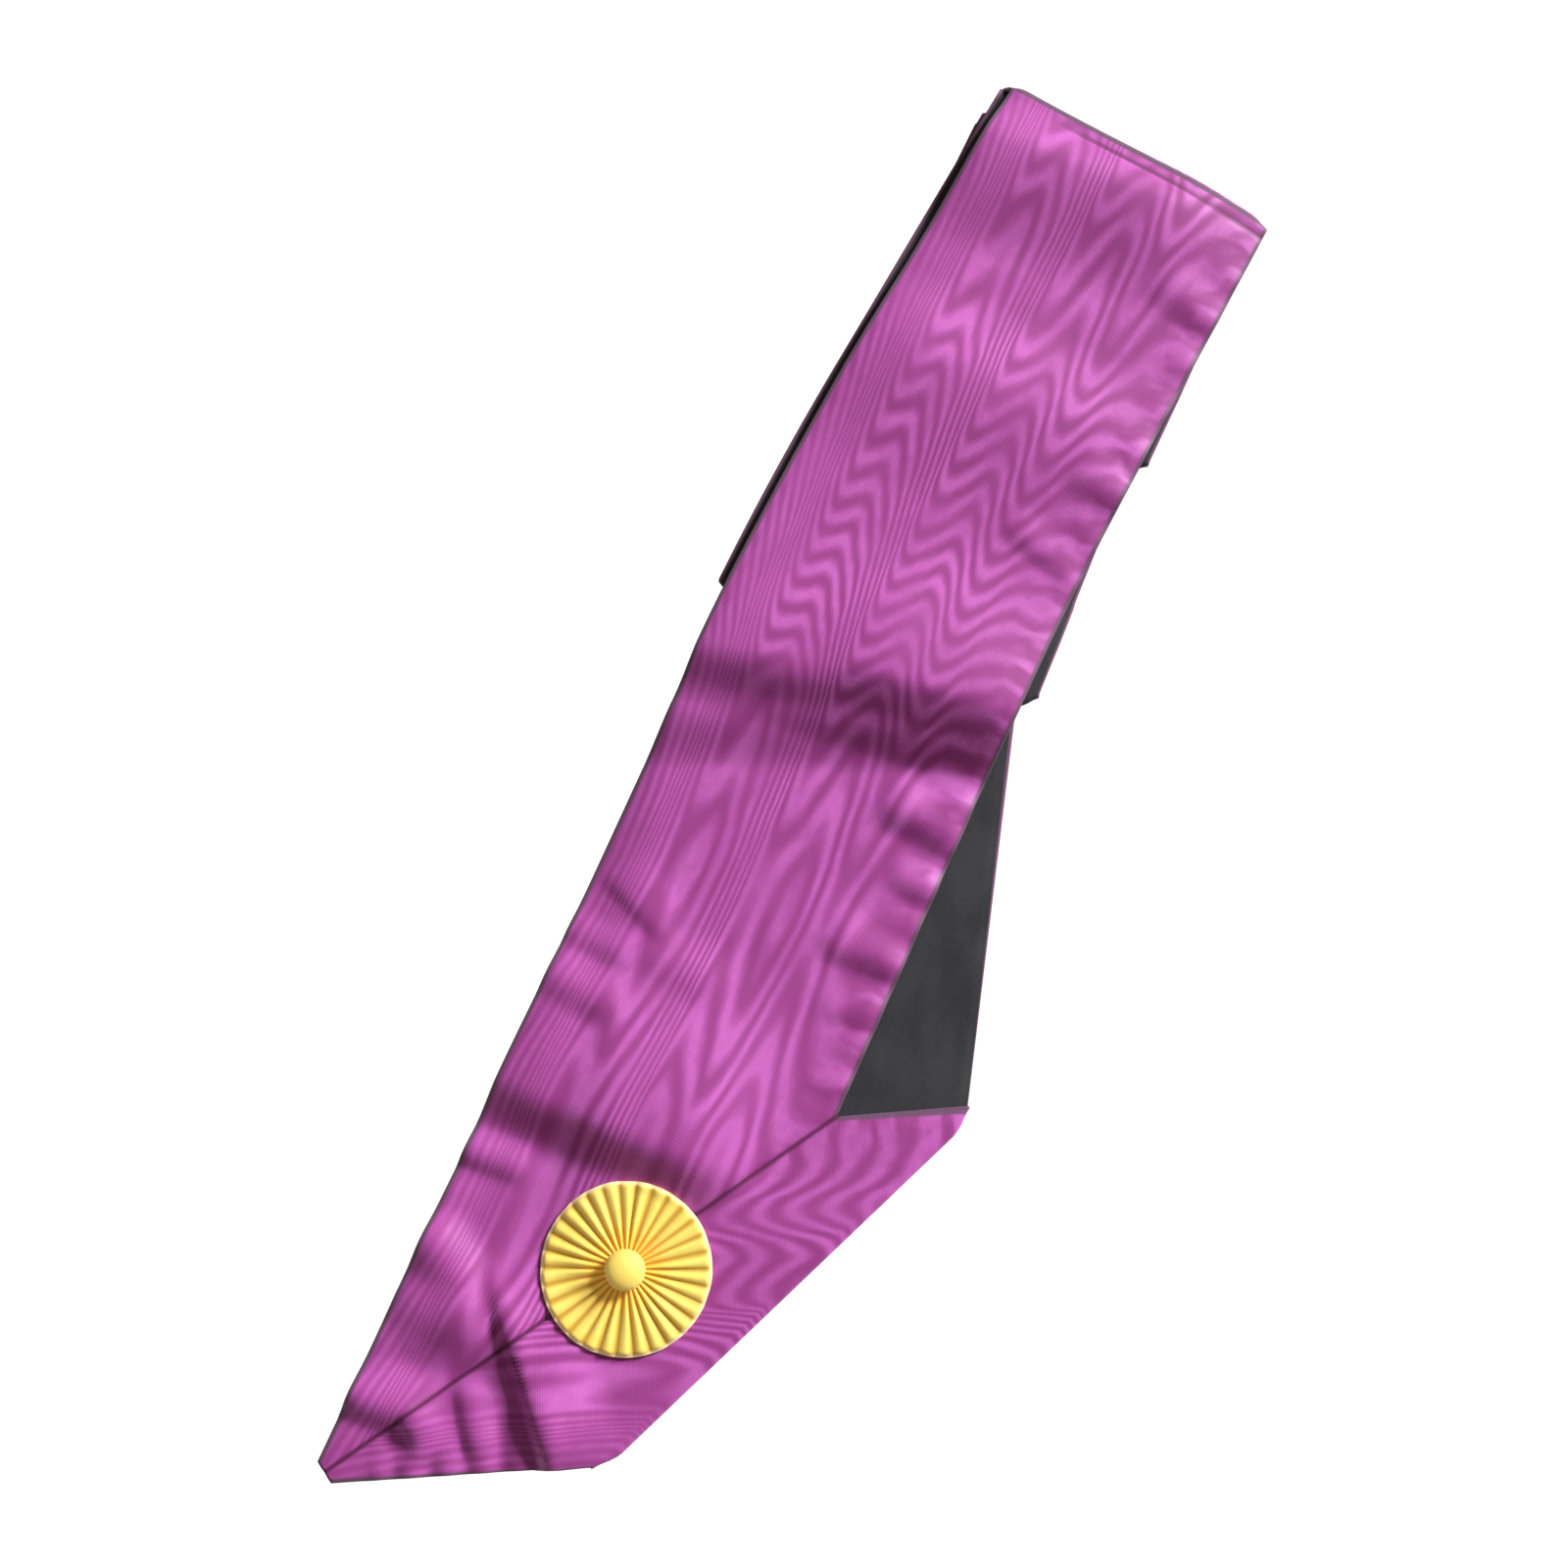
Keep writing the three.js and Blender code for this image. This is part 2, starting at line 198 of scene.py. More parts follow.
def lay_out(stretches, direction, side):
    """Walks a strap fold by fold. side is 1 where its outer edge is on the left of its way, else -1."""
    middle, crease_in, pieces = SEAM_MIDDLE, SEAM_ANGLE, []
    for index, row in enumerate(stretches):
        forward = heading(direction)
        outward = heading(direction + 90 * side)
        outer, inner = middle + outward * RIBBON_WIDTH / 2, middle - outward * RIBBON_WIDTH / 2
        end = middle + forward * row["run"]
        fold_in, fold_out = heading(crease_in), heading(row["crease"])
        fold_normal = np.array([-fold_out[1], fold_out[0]])
        pieces.append(dict(
            row, forward=forward, outward=outward,
            normal_in=pieces[-1]["normal_out"] if pieces else np.zeros(2),
            normal_out=fold_normal * np.sign(fold_normal @ forward) * row["rounding"],
            outer_in=crossing(outer, forward, middle, fold_in),
            inner_in=crossing(inner, forward, middle, fold_in),
            outer_out=crossing(outer, forward, end, fold_out),
            inner_out=crossing(inner, forward, end, fold_out),
        ))
        stays = row["leans"] and index + 1 < len(stretches) and stretches[index + 1]["leans"]
        leaving = leaned_direction(end, direction) if row["leans"] else direction
        middle = lean_point(end, 0.5) if row["leans"] and not stays else end
        direction = direction + 180 if stays else 2 * row["crease"] - leaving
        side = -side
        crease_in = row["crease"]
    return pieces


left_pieces = lay_out(LEFT_STRETCHES, 90, 1)
right_pieces = lay_out(RIGHT_STRETCHES, 90 - POINT_ANGLE, -1)
for corner in ("outer_out", "inner_out"):
    right_pieces[-1][corner] = left_pieces[-1][corner]
print("left strap ends at", np.round(left_pieces[-1]["outer_out"], 1), "mm")

# %% [markdown]
# Cloth that lies over other cloth climbs it, so the height of a stretch depends on what is under
# it. A physics drape would find that by itself, but it would slide the folds away from where the
# photograph has them. Here each lower piece lifts the cloth above by one layer, and the lift fades
# out over a short ramp past its edge, as real cloth sags down beside a stack.

# %% Height of every layer
CLOTH_WALL = 1.0
CLOTH_GAP = 0.3
LAYER_AIR = 0.4
LAYER_PITCH = 2 * CLOTH_WALL + CLOTH_GAP + LAYER_AIR
FACE_TOP = CLOTH_GAP / 2 + CLOTH_WALL
LAYERS_UNDER_FRONT = 5
EDGE_MARGIN = 7
INNER_RAMP = 18
FRONT_RAMP = 19
# The front starts to climb the stack a little early at its outer edge, and late at its inner one
CLIMB_EARLY = np.array([0.0, 14.0])
CLIMB_LATE = np.array([0.0, 4.0])
SHORTEST_SIDE = 1e-6


def corners_of(piece):
    return [piece["outer_in"], piece["outer_out"], piece["inner_out"], piece["inner_in"]]


outlines = {piece["name"]: corners_of(piece) for piece in right_pieces}
outlines["behind"] = [
    lean_point(corner, 0 if index < 2 else 1)
    for index, corner in enumerate(corners_of(left_pieces[1]))
]
top_outer, low_outer, low_inner, top_inner = outlines["behind"]
outlines["climb"] = [top_outer, low_outer - CLIMB_EARLY, low_inner + CLIMB_LATE, top_inner]


def distance_outside(points, corners):
    """How far points lie outside a four-sided outline, or 0 inside it."""
    centre = sum(corners) / 4
    farthest = np.zeros(points.shape[:-1])
    for index, corner in enumerate(corners):
        side = corners[(index + 1) % 4] - corner
        length = np.linalg.norm(side)
        if length < SHORTEST_SIDE:
            continue
        inward = np.sign(cross2(side, centre - corner))
        farthest = np.maximum(farthest, -cross2(side, points - corner) / length * inward)
    return farthest


def cover_of(points, name, ramp):
    """1 where a lower piece lifts the cloth, fading to 0 over the ramp past its edge."""
    outside = distance_outside(points, outlines[name]) - EDGE_MARGIN
    return smooth(1 - np.maximum(outside, 0) / ramp)


def is_front(piece):
    return piece["name"] in ("front", "turned")


def layer_height(points, piece):
    """Height of a strap's middle surface over the table, from the layers under it."""
    ramp = FRONT_RAMP if is_front(piece) else INNER_RAMP
    layers = np.full(points.shape[:-1], float(piece["level"]))
    for name in piece["over"]:
        layers = layers + cover_of(points, name, ramp)
    if is_front(piece):
        layers = layers + (LAYERS_UNDER_FRONT - layers) * cover_of(points, "climb", ramp)
    return CLOTH_WALL + CLOTH_GAP / 2 + LAYER_PITCH * layers


print("one layer is", round(LAYER_PITCH, 2), "mm high; outlines:", sorted(outlines))


# %% [markdown]
# The front cloth isn't ironed flat. It carries a few soft folds where it was bunched, and rows of
# small puckers along its stitched edges. Sculpting them by hand would be the usual way, but a short
# list of folds, each with a place, a direction, a size and a height, can be read and corrected.

# %% Soft folds and puckers
# x and y of the crest's middle, angle it runs at, length, width of its shaded and of its lit side, rise
FRONT_FOLDS = [
    (12, 31, 4, 44, 9, 15, 4.0),
    (22, 60, 8, 56, 15, 14, 3.0),
    (13, 76, -32, 50, 20, 13, 4.8),
    (46.3, 57.8, -47.5, 76, 5.4, 24, 5.6),
    (37, 38.5, -52, 30, 5, 9, 2.4),
    (24, 27.5, -46, 22, 5, 9, 2.0),
    (58, 46, -50, 26, 7, 9, 1.2),
    (8, 111, 4, 34, 6, 9, 2.2),
    (37, 137, 2, 112, 17, 66, 7.8),
    (12, 170, -6, 36, 9, 12, 2.2),
    (10, 186, -2, 30, 7, 9, 1.3),
    (17, 201, -23, 36, 3.5, 16, 1.3),
    (38, 189, -4, 36, 10, 14, 1.2),
    (92, 198, 6, 24, 6, 9, 1.3),
    (88, 217, 4, 32, 8, 14, 2.2),
    (94, 243, -6, 22, 6, 9, 1.2),
    (89, 264, 3, 36, 10, 15, 3.2),
    (92, 279, 8, 24, 6, 8, 1.2),
    (50, 297, 13, 150, 14, 50, 3.0),
    (76, 302, 7, 84, 13, 44, 3.0),
    (88, 357, -14, 34, 6, 10, 1.2),
    (58, 398, -3, 150, 44, 30, 3.6),
    (98, 384, -14, 32, 9, 12, 1.2),
    (46, 479, 2, 150, 38, 20, 5.4),
    (98, 453, -14, 30, 9, 12, 1.2),
]
# x and y of the start, angle, length, spacing, reach, rise
EDGE_PUCKERS = [
    (101, 168, 90, 126, 14, 17, 1.3),
    (14, 7, 27.5, 66, 11, 20, 1.5),
    (0, 20, 90, 100, 17, 14, 1.0),
    (105, 340, 87, 140, 17, 15, 1.0),
]
# A fold fades out towards both ends, over this share of half its length
FOLD_END_FADE = 0.6


def fold_height(points):
    """Added height of the soft folds and of the puckers, in mm."""
    height = np.zeros(points.shape[:-1])
    for x, y, angle, length, shaded, lit, rise in FRONT_FOLDS:
        offset = points - np.array([x, y])
        lengthwise = (offset @ heading(angle)) / (length / 2)
        crosswise = offset @ heading(angle + 90)
        crosswise = np.where(crosswise < 0, crosswise / shaded, crosswise / lit)
        ends = smooth((1 - np.abs(lengthwise)) / FOLD_END_FADE)
        height += rise * ends * smooth(1 - np.abs(crosswise))
    for x, y, angle, length, spacing, reach, rise in EDGE_PUCKERS:
        offset = points - np.array([x, y])
        distance = offset @ heading(angle)
        inward = np.abs(cross2(offset, heading(angle)))
        fade = smooth(np.minimum(distance, length - distance) / spacing)
        wave = 0.5 - 0.5 * np.cos(2 * np.pi * distance / spacing)
        height += rise * fade * wave * smooth(1 - inward / reach)
    return height


def surface_height(points, piece):
    """Height of a strap's middle surface with the folds of the front cloth."""
    height = layer_height(points, piece)
    if is_front(piece):
        height = height + fold_height(points)
    return height


print(len(FRONT_FOLDS), "folds and", len(EDGE_PUCKERS), "rows of puckers")


# %% [markdown]
# Each cloth is a thin closed slab. Its middle surface is a grid of points: across the ribbon, finer
# at the two edges, and along it, with a half turn round each crease. The grid keeps its place on
# the flat ribbon, in millimetres from the outer edge and from the point of the V, as a UV map, so
# the pattern of the weave can follow the ribbon round every fold.

# %% Columns across the ribbon
EDGE_COLUMNS = [0, 0.5, 1.1, 1.8, 2.6, 3.6, 5.0]
MIDDLE_COLUMNS = 73


def columns_across():
    """Places of the columns as shares of the width, closer together at the two edges."""
    middle_start, middle_end = EDGE_COLUMNS[-1], RIBBON_WIDTH - EDGE_COLUMNS[-1]
    middle = np.linspace(middle_start, middle_end, MIDDLE_COLUMNS)[1:-1]
    edges = np.array(EDGE_COLUMNS)
    return np.concatenate([edges, middle, RIBBON_WIDTH - edges[::-1]]) / RIBBON_WIDTH


shares = columns_across()
inset = np.minimum(shares, 1 - shares) * RIBBON_WIDTH
print("columns:", len(shares))

# %% [markdown]
# Rows run from crease to crease, so both ends of a stretch lie exactly on its folds, however
# slanted those are. A square grid cut off at a slanted fold would leave a ragged edge there.

# %% Rows along one stretch
# Rows next to the mitre seam, as shares of the run from the seam to the first full row
SEAM_ROWS = [0, 0.12, 0.3, 0.55, 0.8, 1]
SEAM_RUN = 3
FEWEST_ROWS = 3
CORNER_REACH = 6.5


def row_between(outer, inner):
    return outer + (inner - outer) * shares[:, None]


def corner_pull(normal):
    """The ends of a fold lie a little further in than its middle, so its corners are rounded."""
    return -normal * (1 - smooth(inset[:, None] / CORNER_REACH))


def flat_rows(piece, is_first, is_last):
    """Rows of points of one stretch, on the table, before any lean or height."""
    rows, forward = [], piece["forward"]
    outer, inner = piece["outer_in"], piece["inner_in"]
    if is_first:
        shift = SEAM_GAP / 2 / math.sin(HALF_POINT)
        cut = heading(SEAM_ANGLE) * TIP_CUT + forward * shift
        seam = inner + forward * shift
        outer = outer + forward * TIP_CUT / math.cos(HALF_POINT)
        inner = seam + forward * SEAM_RUN
        first, second = row_between(cut, seam), row_between(outer, inner)
        rows += [first + (second - first) * share for share in SEAM_ROWS[:-1]]
    end_shift = -SEAM_GAP / 2 if is_last else 0
    outer_end = piece["outer_out"] + forward * end_shift
    inner_end = piece["inner_out"] + forward * end_shift
    longest = max(np.linalg.norm(outer_end - outer), np.linalg.norm(inner_end - inner))
    count = max(FEWEST_ROWS, int(round(longest / piece["row_step"])))
    first_row = row_between(outer, inner) + corner_pull(piece["normal_in"])
    last_row = row_between(outer_end, inner_end) + corner_pull(piece["normal_out"])
    rows += [first_row + (last_row - first_row) * share for share in np.linspace(0, 1, count + 1)]
    return np.array(rows)


def stretch_grid(piece, v_start, is_first, is_last):
    """Points in space and their place on the flat ribbon."""
    flat = flat_rows(piece, is_first, is_last)
    from_outer = (flat - piece["outer_in"]) @ -piece["outward"]
    along = (flat - piece["outer_in"]) @ piece["forward"] + v_start
    plan = flat.copy()
    if piece["leans"]:
        column_shares = np.broadcast_to(shares, flat.shape[:-1])
        plan[..., 0] += lean_at(flat[..., 1] - SEAM_MIDDLE[1], column_shares)
    low_slip, top_slip = piece["aside"]
    slipped = smooth((plan[..., 1] - SLIP_FROM) / (SLIP_TO - SLIP_FROM))
    plan[..., 0] += low_slip + (top_slip - low_slip) * slipped
    return np.dstack([plan, surface_height(plan, piece)]), np.dstack([from_outer, along])


front_rows = len(stretch_grid(left_pieces[0], 0.0, True, False)[0])
print("rows on the front of the left strap:", front_rows)

# %% [markdown]
# At a crease the cloth goes round in half a circle, as high as the two layers are apart. Cutting the
# cloth there and laying two pieces together would be simpler, but a fold seen from the side would
# then be open. The half circle is shallower at the stitched edges, which were pressed flatter, and
# the millimetres on the ribbon are counted on round the bend, so the weave goes on without a jump.

# %% The half turn at each crease
BEND_STEPS = 10
CORNER_BULGE = 0.25


def bend_grid(before, after, piece):
    """Half turn of the cloth round a crease, between the last row of one stretch and the next."""
    crease = heading(piece["crease"])
    outward = np.array([-crease[1], crease[0]])
    if outward @ piece["forward"] < 0:
        outward = -outward
    radius = (before[:, 2] - after[:, 2]) / 2
    bulge = CORNER_BULGE + (1 - CORNER_BULGE) * smooth(inset / CORNER_REACH)
    rows = []
    for step in range(1, BEND_STEPS):
        turn = math.pi * step / BEND_STEPS
        reach = np.abs(radius) * math.sin(turn) * bulge
        share = step / BEND_STEPS
        plan = before[:, :2] + (after[:, :2] - before[:, :2]) * share + outward * reach[:, None]
        height = after[:, 2] + radius * (1 + math.cos(turn))
        rows.append(np.column_stack([plan, height]))
    return np.array(rows), float(np.mean(np.abs(radius)) * math.pi)


def strap_grid(pieces):
    """All stretches and half turns of one strap as one grid, with its place on the flat ribbon."""
    points, places, v_start = [], [], 0.0
    for index, piece in enumerate(pieces):
        grid, place = stretch_grid(piece, v_start, index == 0, index == len(pieces) - 1)
        if index:
            bend, arc = bend_grid(points[-1][-1], grid[0], pieces[index - 1])
            place[..., 1] += arc
            turns = (np.arange(1, BEND_STEPS) / BEND_STEPS)[:, None, None]
            points.append(bend)
            places.append(places[-1][-1] + (place[0] - places[-1][-1]) * turns)
            v_start += arc
        points.append(grid)
        places.append(place)
        v_start += (piece["outer_out"] - piece["outer_in"]) @ piece["forward"]
    return np.concatenate(points), np.concatenate(places)


left_grid, left_place = strap_grid(left_pieces)
right_grid, right_place = strap_grid(right_pieces)
left_length = round(float(left_place[..., 1].max()), 1)
print("grids:", left_grid.shape, right_grid.shape, "length in mm:", left_length)

# %% [markdown]
# The woven ribbon ends in a slim firm edge, the selvedge, and the two cloths are stitched together
# there, so a strap is thinner at its edges than in the middle. At the mitre the cloth is pulled
# down into the seam. Both are made by moving the two faces of a slab closer to its middle surface.

# %% Thickness over the cloth
EDGE_TOP = 0.55
EDGE_INNER = 0.04
EDGE_SLOPE = 4.0
BEAD_RISE = 0.16
BEAD_PLACE = 1.1
BEAD_WIDTH = 0.7
GROOVE_DEPTH = 0.55
GROOVE_PLACE = 3.6
GROOVE_WIDTH = 1.1
GROOVE_FROM = 14
GROOVE_FADE = 20
SEAM_DIP = 0.8
SEAM_REACH = 1.3
# The seam's dip is only looked for within this many ribbon widths of the point
SEAM_STRETCH = 1.8


def front_length(end):
    """Length of the front stretch along one of its edges, up to the fold at the top."""
    front = left_pieces[0]
    return (front[end] - front["outer_in"]) @ front["forward"]


FRONT_OUTER = front_length("outer_out")
FRONT_INNER = front_length("inner_out")


def edge_distance(place):
    """Distance in mm from the nearer long edge of the cloth."""
    return np.minimum(place[..., 0], RIBBON_WIDTH - place[..., 0]).clip(0)


def hump(distance, rise, middle, width):
    """Height of a rounded ridge across a line at the distance called middle."""
    return rise * np.exp(-((distance - middle) / width) ** 2)


def top_crease(place):
    """Shallow stitched groove of the front cloth, just before its fold at the top."""
    fold = FRONT_OUTER + (FRONT_INNER - FRONT_OUTER) * place[..., 0] / RIBBON_WIDTH
    groove = hump(fold - place[..., 1], GROOVE_DEPTH, GROOVE_PLACE, GROOVE_WIDTH)
    return groove * smooth((place[..., 0] - GROOVE_FROM) / GROOVE_FADE)


def cloth_offsets(grid, place, has_top_crease):
    """Distance of the outer and the inner face of a cloth from the strap's middle surface."""
    near_edge = smooth(edge_distance(place) / EDGE_SLOPE)
    bead = hump(edge_distance(place), BEAD_RISE, BEAD_PLACE, BEAD_WIDTH)
    outer = EDGE_TOP + (FACE_TOP - EDGE_TOP) * near_edge + bead
    if has_top_crease:
        outer = outer - top_crease(place)
    from_seam = np.abs(cross2(grid[..., :2], heading(SEAM_ANGLE)))
    is_near = place[..., 1] < RIBBON_WIDTH * SEAM_STRETCH
    outer = outer - np.where(is_near, hump(from_seam, SEAM_DIP, 0, SEAM_REACH), 0) * near_edge
    inner = EDGE_INNER + (CLOTH_GAP / 2 - EDGE_INNER) * near_edge
    return outer, inner


print("front stretch in mm, outer and inner edge:", round(FRONT_OUTER, 1), round(FRONT_INNER, 1))

# %% [markdown]
# A modifier that thickens a surface would give a slab too, but with the same wall everywhere. Here
# the two faces have walls of their own, so the points of both are worked out first, and the faces
# of the mesh are numbered after that: top, bottom and the four narrow sides.

# %% The four cloths


def surface_normals(grid, face_sign):
    """Direction straight out of the strap at each point of the grid."""
    lengthwise = np.gradient(grid, axis=0)
    crosswise = np.gradient(grid, axis=1)
    normal = np.cross(crosswise, lengthwise) * face_sign
    return normal / np.linalg.norm(normal, axis=-1, keepdims=True)


def slab_faces(rows, columns, face_sign):
    """Corner numbers of the quads of a closed slab with its two sides numbered one after the other."""
    number = np.arange(rows * columns).reshape(rows, columns)
    below = number + rows * columns
    top = np.stack([number[:-1, :-1], number[:-1, 1:], number[1:, 1:], number[1:, :-1]], -1).reshape(-1, 4)
    bottom = np.stack([below[:-1, :-1], below[1:, :-1], below[1:, 1:], below[:-1, 1:]], -1).reshape(-1, 4)
    left = np.stack([number[:-1, 0], number[1:, 0], below[1:, 0], below[:-1, 0]], -1)
    right = np.stack([number[:-1, -1], below[:-1, -1], below[1:, -1], number[1:, -1]], -1)
    start = np.stack([number[0, :-1], below[0, :-1], below[0, 1:], number[0, 1:]], -1)
    end = np.stack([number[-1, :-1], number[-1, 1:], below[-1, 1:], below[-1, :-1]], -1)
    quads = np.concatenate([top, bottom, left, right, start, end])
    return quads if face_sign > 0 else quads[:, ::-1]


def make_piece(name, points, faces, places):
    """A mesh in the model's place, smooth shaded, with its place on the cloth as the UV map."""
    mesh = bpy.data.meshes.new(name)
    mesh.from_pydata((points * MM + plan_shift).tolist(), [], faces)
    corners = np.empty(len(mesh.loops), dtype=np.int32)
    mesh.loops.foreach_get("vertex_index", corners)
    layer = mesh.uv_layers.new(name="ribbon")
    layer.data.foreach_set("uv", (places[corners] * MM).ravel())
    mesh.polygons.foreach_set("use_smooth", np.ones(len(mesh.polygons), dtype=bool))
    mesh.validate()
    piece = bpy.data.objects.new(name, mesh)
    bpy.context.collection.objects.link(piece)
    print(name, "has", len(mesh.polygons), "faces")
    return piece


def make_cloth(name, grid, place, face_sign, is_face, has_top_crease=False):
    """One cloth of a strap: the ribbon on its outside, or else the lining on its inside."""
    outer, inner = cloth_offsets(grid, place, has_top_crease)
    normals = surface_normals(grid, face_sign)
    upper, lower = (outer, inner) if is_face else (-inner, -outer)
    front = grid + normals * upper[..., None]
    back = grid + normals * lower[..., None]
    quads = slab_faces(*grid.shape[:2], face_sign)
    points = np.concatenate([front.reshape(-1, 3), back.reshape(-1, 3)])
    places = np.concatenate([place.reshape(-1, 2)] * 2)
    return make_piece(name, points, quads.tolist(), places)


left_face = make_cloth("left_ribbon", left_grid, left_place, 1, True, has_top_crease=True)
left_lining = make_cloth("left_lining", left_grid, left_place, 1, False)
right_face = make_cloth("right_ribbon", right_grid, right_place, -1, True)
right_lining = make_cloth("right_lining", right_grid, right_place, -1, False)

# %% [markdown]
# The rosette is a strip of yellow ribbon pleated into a disc: its outer edge is spread to the full
# circle and its inner edge is gathered tightly under the button. The pleats are rounded on top with
# sharp valleys between them, so their section is a half wave. They could be an array of one bent
# pleat, but a polar grid lets each pleat be a little wider, lower or turned than the next.

# %% The pleated rosette
ROSETTE_RADIUS = 26.5
HOLE_RADIUS = 2.2
PLEATED_RADIUS = 24.6
PLEATED_RINGS = 24
RIM_RINGS = [25.2, 25.7, 26.1, 26.35, ROSETTE_RADIUS]
RIM_WIDTH = 1.6
PLEATS = 30
SEGMENTS = 14
ROSETTE_WALL = 1.2
ROSETTE_LIFT = 0.35
PLEAT_RISE = 1.1
# Below 1, the tops of the pleats are broad and the valleys between them narrow
PLEAT_ROUNDING = 0.6
# Towards the middle a pleat rises at most this share of its own width
STEEPEST_PLEAT = 0.42
draws = np.random.default_rng(11)
pleat_rise = PLEAT_RISE * draws.uniform(0.8, 1.15, PLEATS)
pleat_turn = draws.uniform(-0.035, 0.035, PLEATS)
pleat_reach = draws.uniform(-0.25, 0.2, PLEATS)


def front_top(plan):
    """Height of the top of the front cloth, which the rosette lies on."""
    return surface_height(plan, left_pieces[0]) + FACE_TOP


def ring_faces(rings, spokes):
    """Corner numbers of the quads of a closed ring-shaped slab, its top numbered before its bottom."""
    number = np.arange(rings * spokes).reshape(rings, spokes)
    after = np.roll(number, -1, axis=1)
    below, below_after = number + rings * spokes, after + rings * spokes
    top = np.stack([number[:-1], number[1:], after[1:], after[:-1]], -1).reshape(-1, 4)
    bottom = np.stack([below[:-1], below_after[:-1], below_after[1:], below[1:]], -1).reshape(-1, 4)
    rim_wall = np.stack([number[-1], below[-1], below_after[-1], after[-1]], -1)
    hole_wall = np.stack([number[0], after[0], below_after[0], below[0]], -1)
    return np.concatenate([top, bottom, rim_wall, hole_wall]).tolist()


def make_rosette():
    """A polar grid: rings from the gathered hole to the rim, and a few spokes for each pleat."""
    rings = np.concatenate([np.linspace(HOLE_RADIUS, PLEATED_RADIUS, PLEATED_RINGS), RIM_RINGS])
    spokes = PLEATS * SEGMENTS
    radius, spoke = np.meshgrid(rings, np.arange(spokes), indexing="ij")
    pleat = spoke // SEGMENTS
    across = (spoke % SEGMENTS) / SEGMENTS
    ridge = (0.5 - 0.5 * np.cos(2 * np.pi * across)) ** PLEAT_ROUNDING
    spread = 2 * np.pi * radius / PLEATS
    rise = np.minimum(pleat_rise[pleat], STEEPEST_PLEAT * spread)
    rim = smooth((ROSETTE_RADIUS - radius) / RIM_WIDTH)
    share = radius / ROSETTE_RADIUS
    twist = pleat_turn[pleat] * np.sin(np.pi * share) * ridge
    turn = 2 * np.pi * spoke / spokes + twist
    reach = radius + 0.5 * pleat_reach[pleat] * ridge * share ** 6
    plan = np.dstack([ROSETTE_X + reach * np.cos(turn), ROSETTE_Y + reach * np.sin(turn)])
    base = front_top(plan) + ROSETTE_LIFT
    wall = ROSETTE_WALL * (1 + 0.75 * (1 - share) ** 2) * (0.45 + 0.55 * rim)
    upper = base + wall + rise * ridge * (0.3 + 0.7 * rim)
    points = np.concatenate([np.dstack([plan, height]).reshape(-1, 3) for height in (upper, base)])
    places = np.dstack([radius, pleat + across]).reshape(-1, 2)
    faces = ring_faces(len(rings), spokes)
    return make_piece("rosette_pleats", points, faces, np.concatenate([places, places]))


rosette = make_rosette()

# %% [markdown]
# The button is a shallow metal mould covered with the same yellow cloth, pulled round to the back.
# It is turned from one profile, and tiny gathers near its rim show where the cloth is drawn in.

# %% The covered button
BUTTON_RADIUS = 6.3
BUTTON_HEIGHT = 4.5
BUTTON_SPOKES = 72
GATHERS = 18
GATHER_DEPTH = 0.012
GATHERED_FROM = 0.75
GATHER_FADE = 0.2
# Half of the section, from the top to the middle of the back, as shares of radius and height
BUTTON_PROFILE = [
    (0.0, 1.0), (0.15, 0.995), (0.3, 0.975), (0.45, 0.935), (0.58, 0.88), (0.7, 0.81),
    (0.8, 0.72), (0.88, 0.62), (0.945, 0.5), (0.985, 0.38), (1.0, 0.27), (0.985, 0.17),
    (0.94, 0.08), (0.86, 0.02), (0.7, 0.0), (0.35, 0.0), (0.0, 0.0),
]


def button_faces():
    """Rings of quads, closed by triangles round the first and the last point."""
    faces = []
    starts = [1 + BUTTON_SPOKES * ring for ring in range(len(BUTTON_PROFILE) - 2)]
    last = starts[-1] + BUTTON_SPOKES
    for start in starts:
        for step in range(BUTTON_SPOKES):
            here, after = start + step, start + (step + 1) % BUTTON_SPOKES
            if start == starts[0]:
                faces.append((0, here, after))
            if start == starts[-1]:
                faces.append((here, last, after))
            else:
                faces.append((here, here + BUTTON_SPOKES, after + BUTTON_SPOKES, after))
    return faces


def make_button():
    """The profile turned about the middle of the rosette, on the seat that the model gives it."""
    seat = float(button_low[2]) / MM
    points, places = [], []
    for across, up in BUTTON_PROFILE:
        drawn_in = smooth((across - GATHERED_FROM) / GATHER_FADE)
        for step in range(BUTTON_SPOKES if across else 1):
            angle = 2 * math.pi * step / BUTTON_SPOKES
            gather = 1 + GATHER_DEPTH * math.sin(GATHERS * angle) * drawn_in
            radius = BUTTON_RADIUS * across * gather
            x, y = radius * math.cos(angle), radius * math.sin(angle)
            points.append((ROSETTE_X + x, ROSETTE_Y + y, seat + BUTTON_HEIGHT * up))
            places.append((x, y))
    return make_piece("covered_button", np.array(points), button_faces(), np.array(places))


button = make_button()

# %% [markdown]
# A shader is a tree of nodes. In Blender's editor each node is placed and linked by hand. In a script
# a small helper that adds a node, links what goes in and hands back what comes out lets a finish be
# written almost like plain sums, so all finishes below use it.

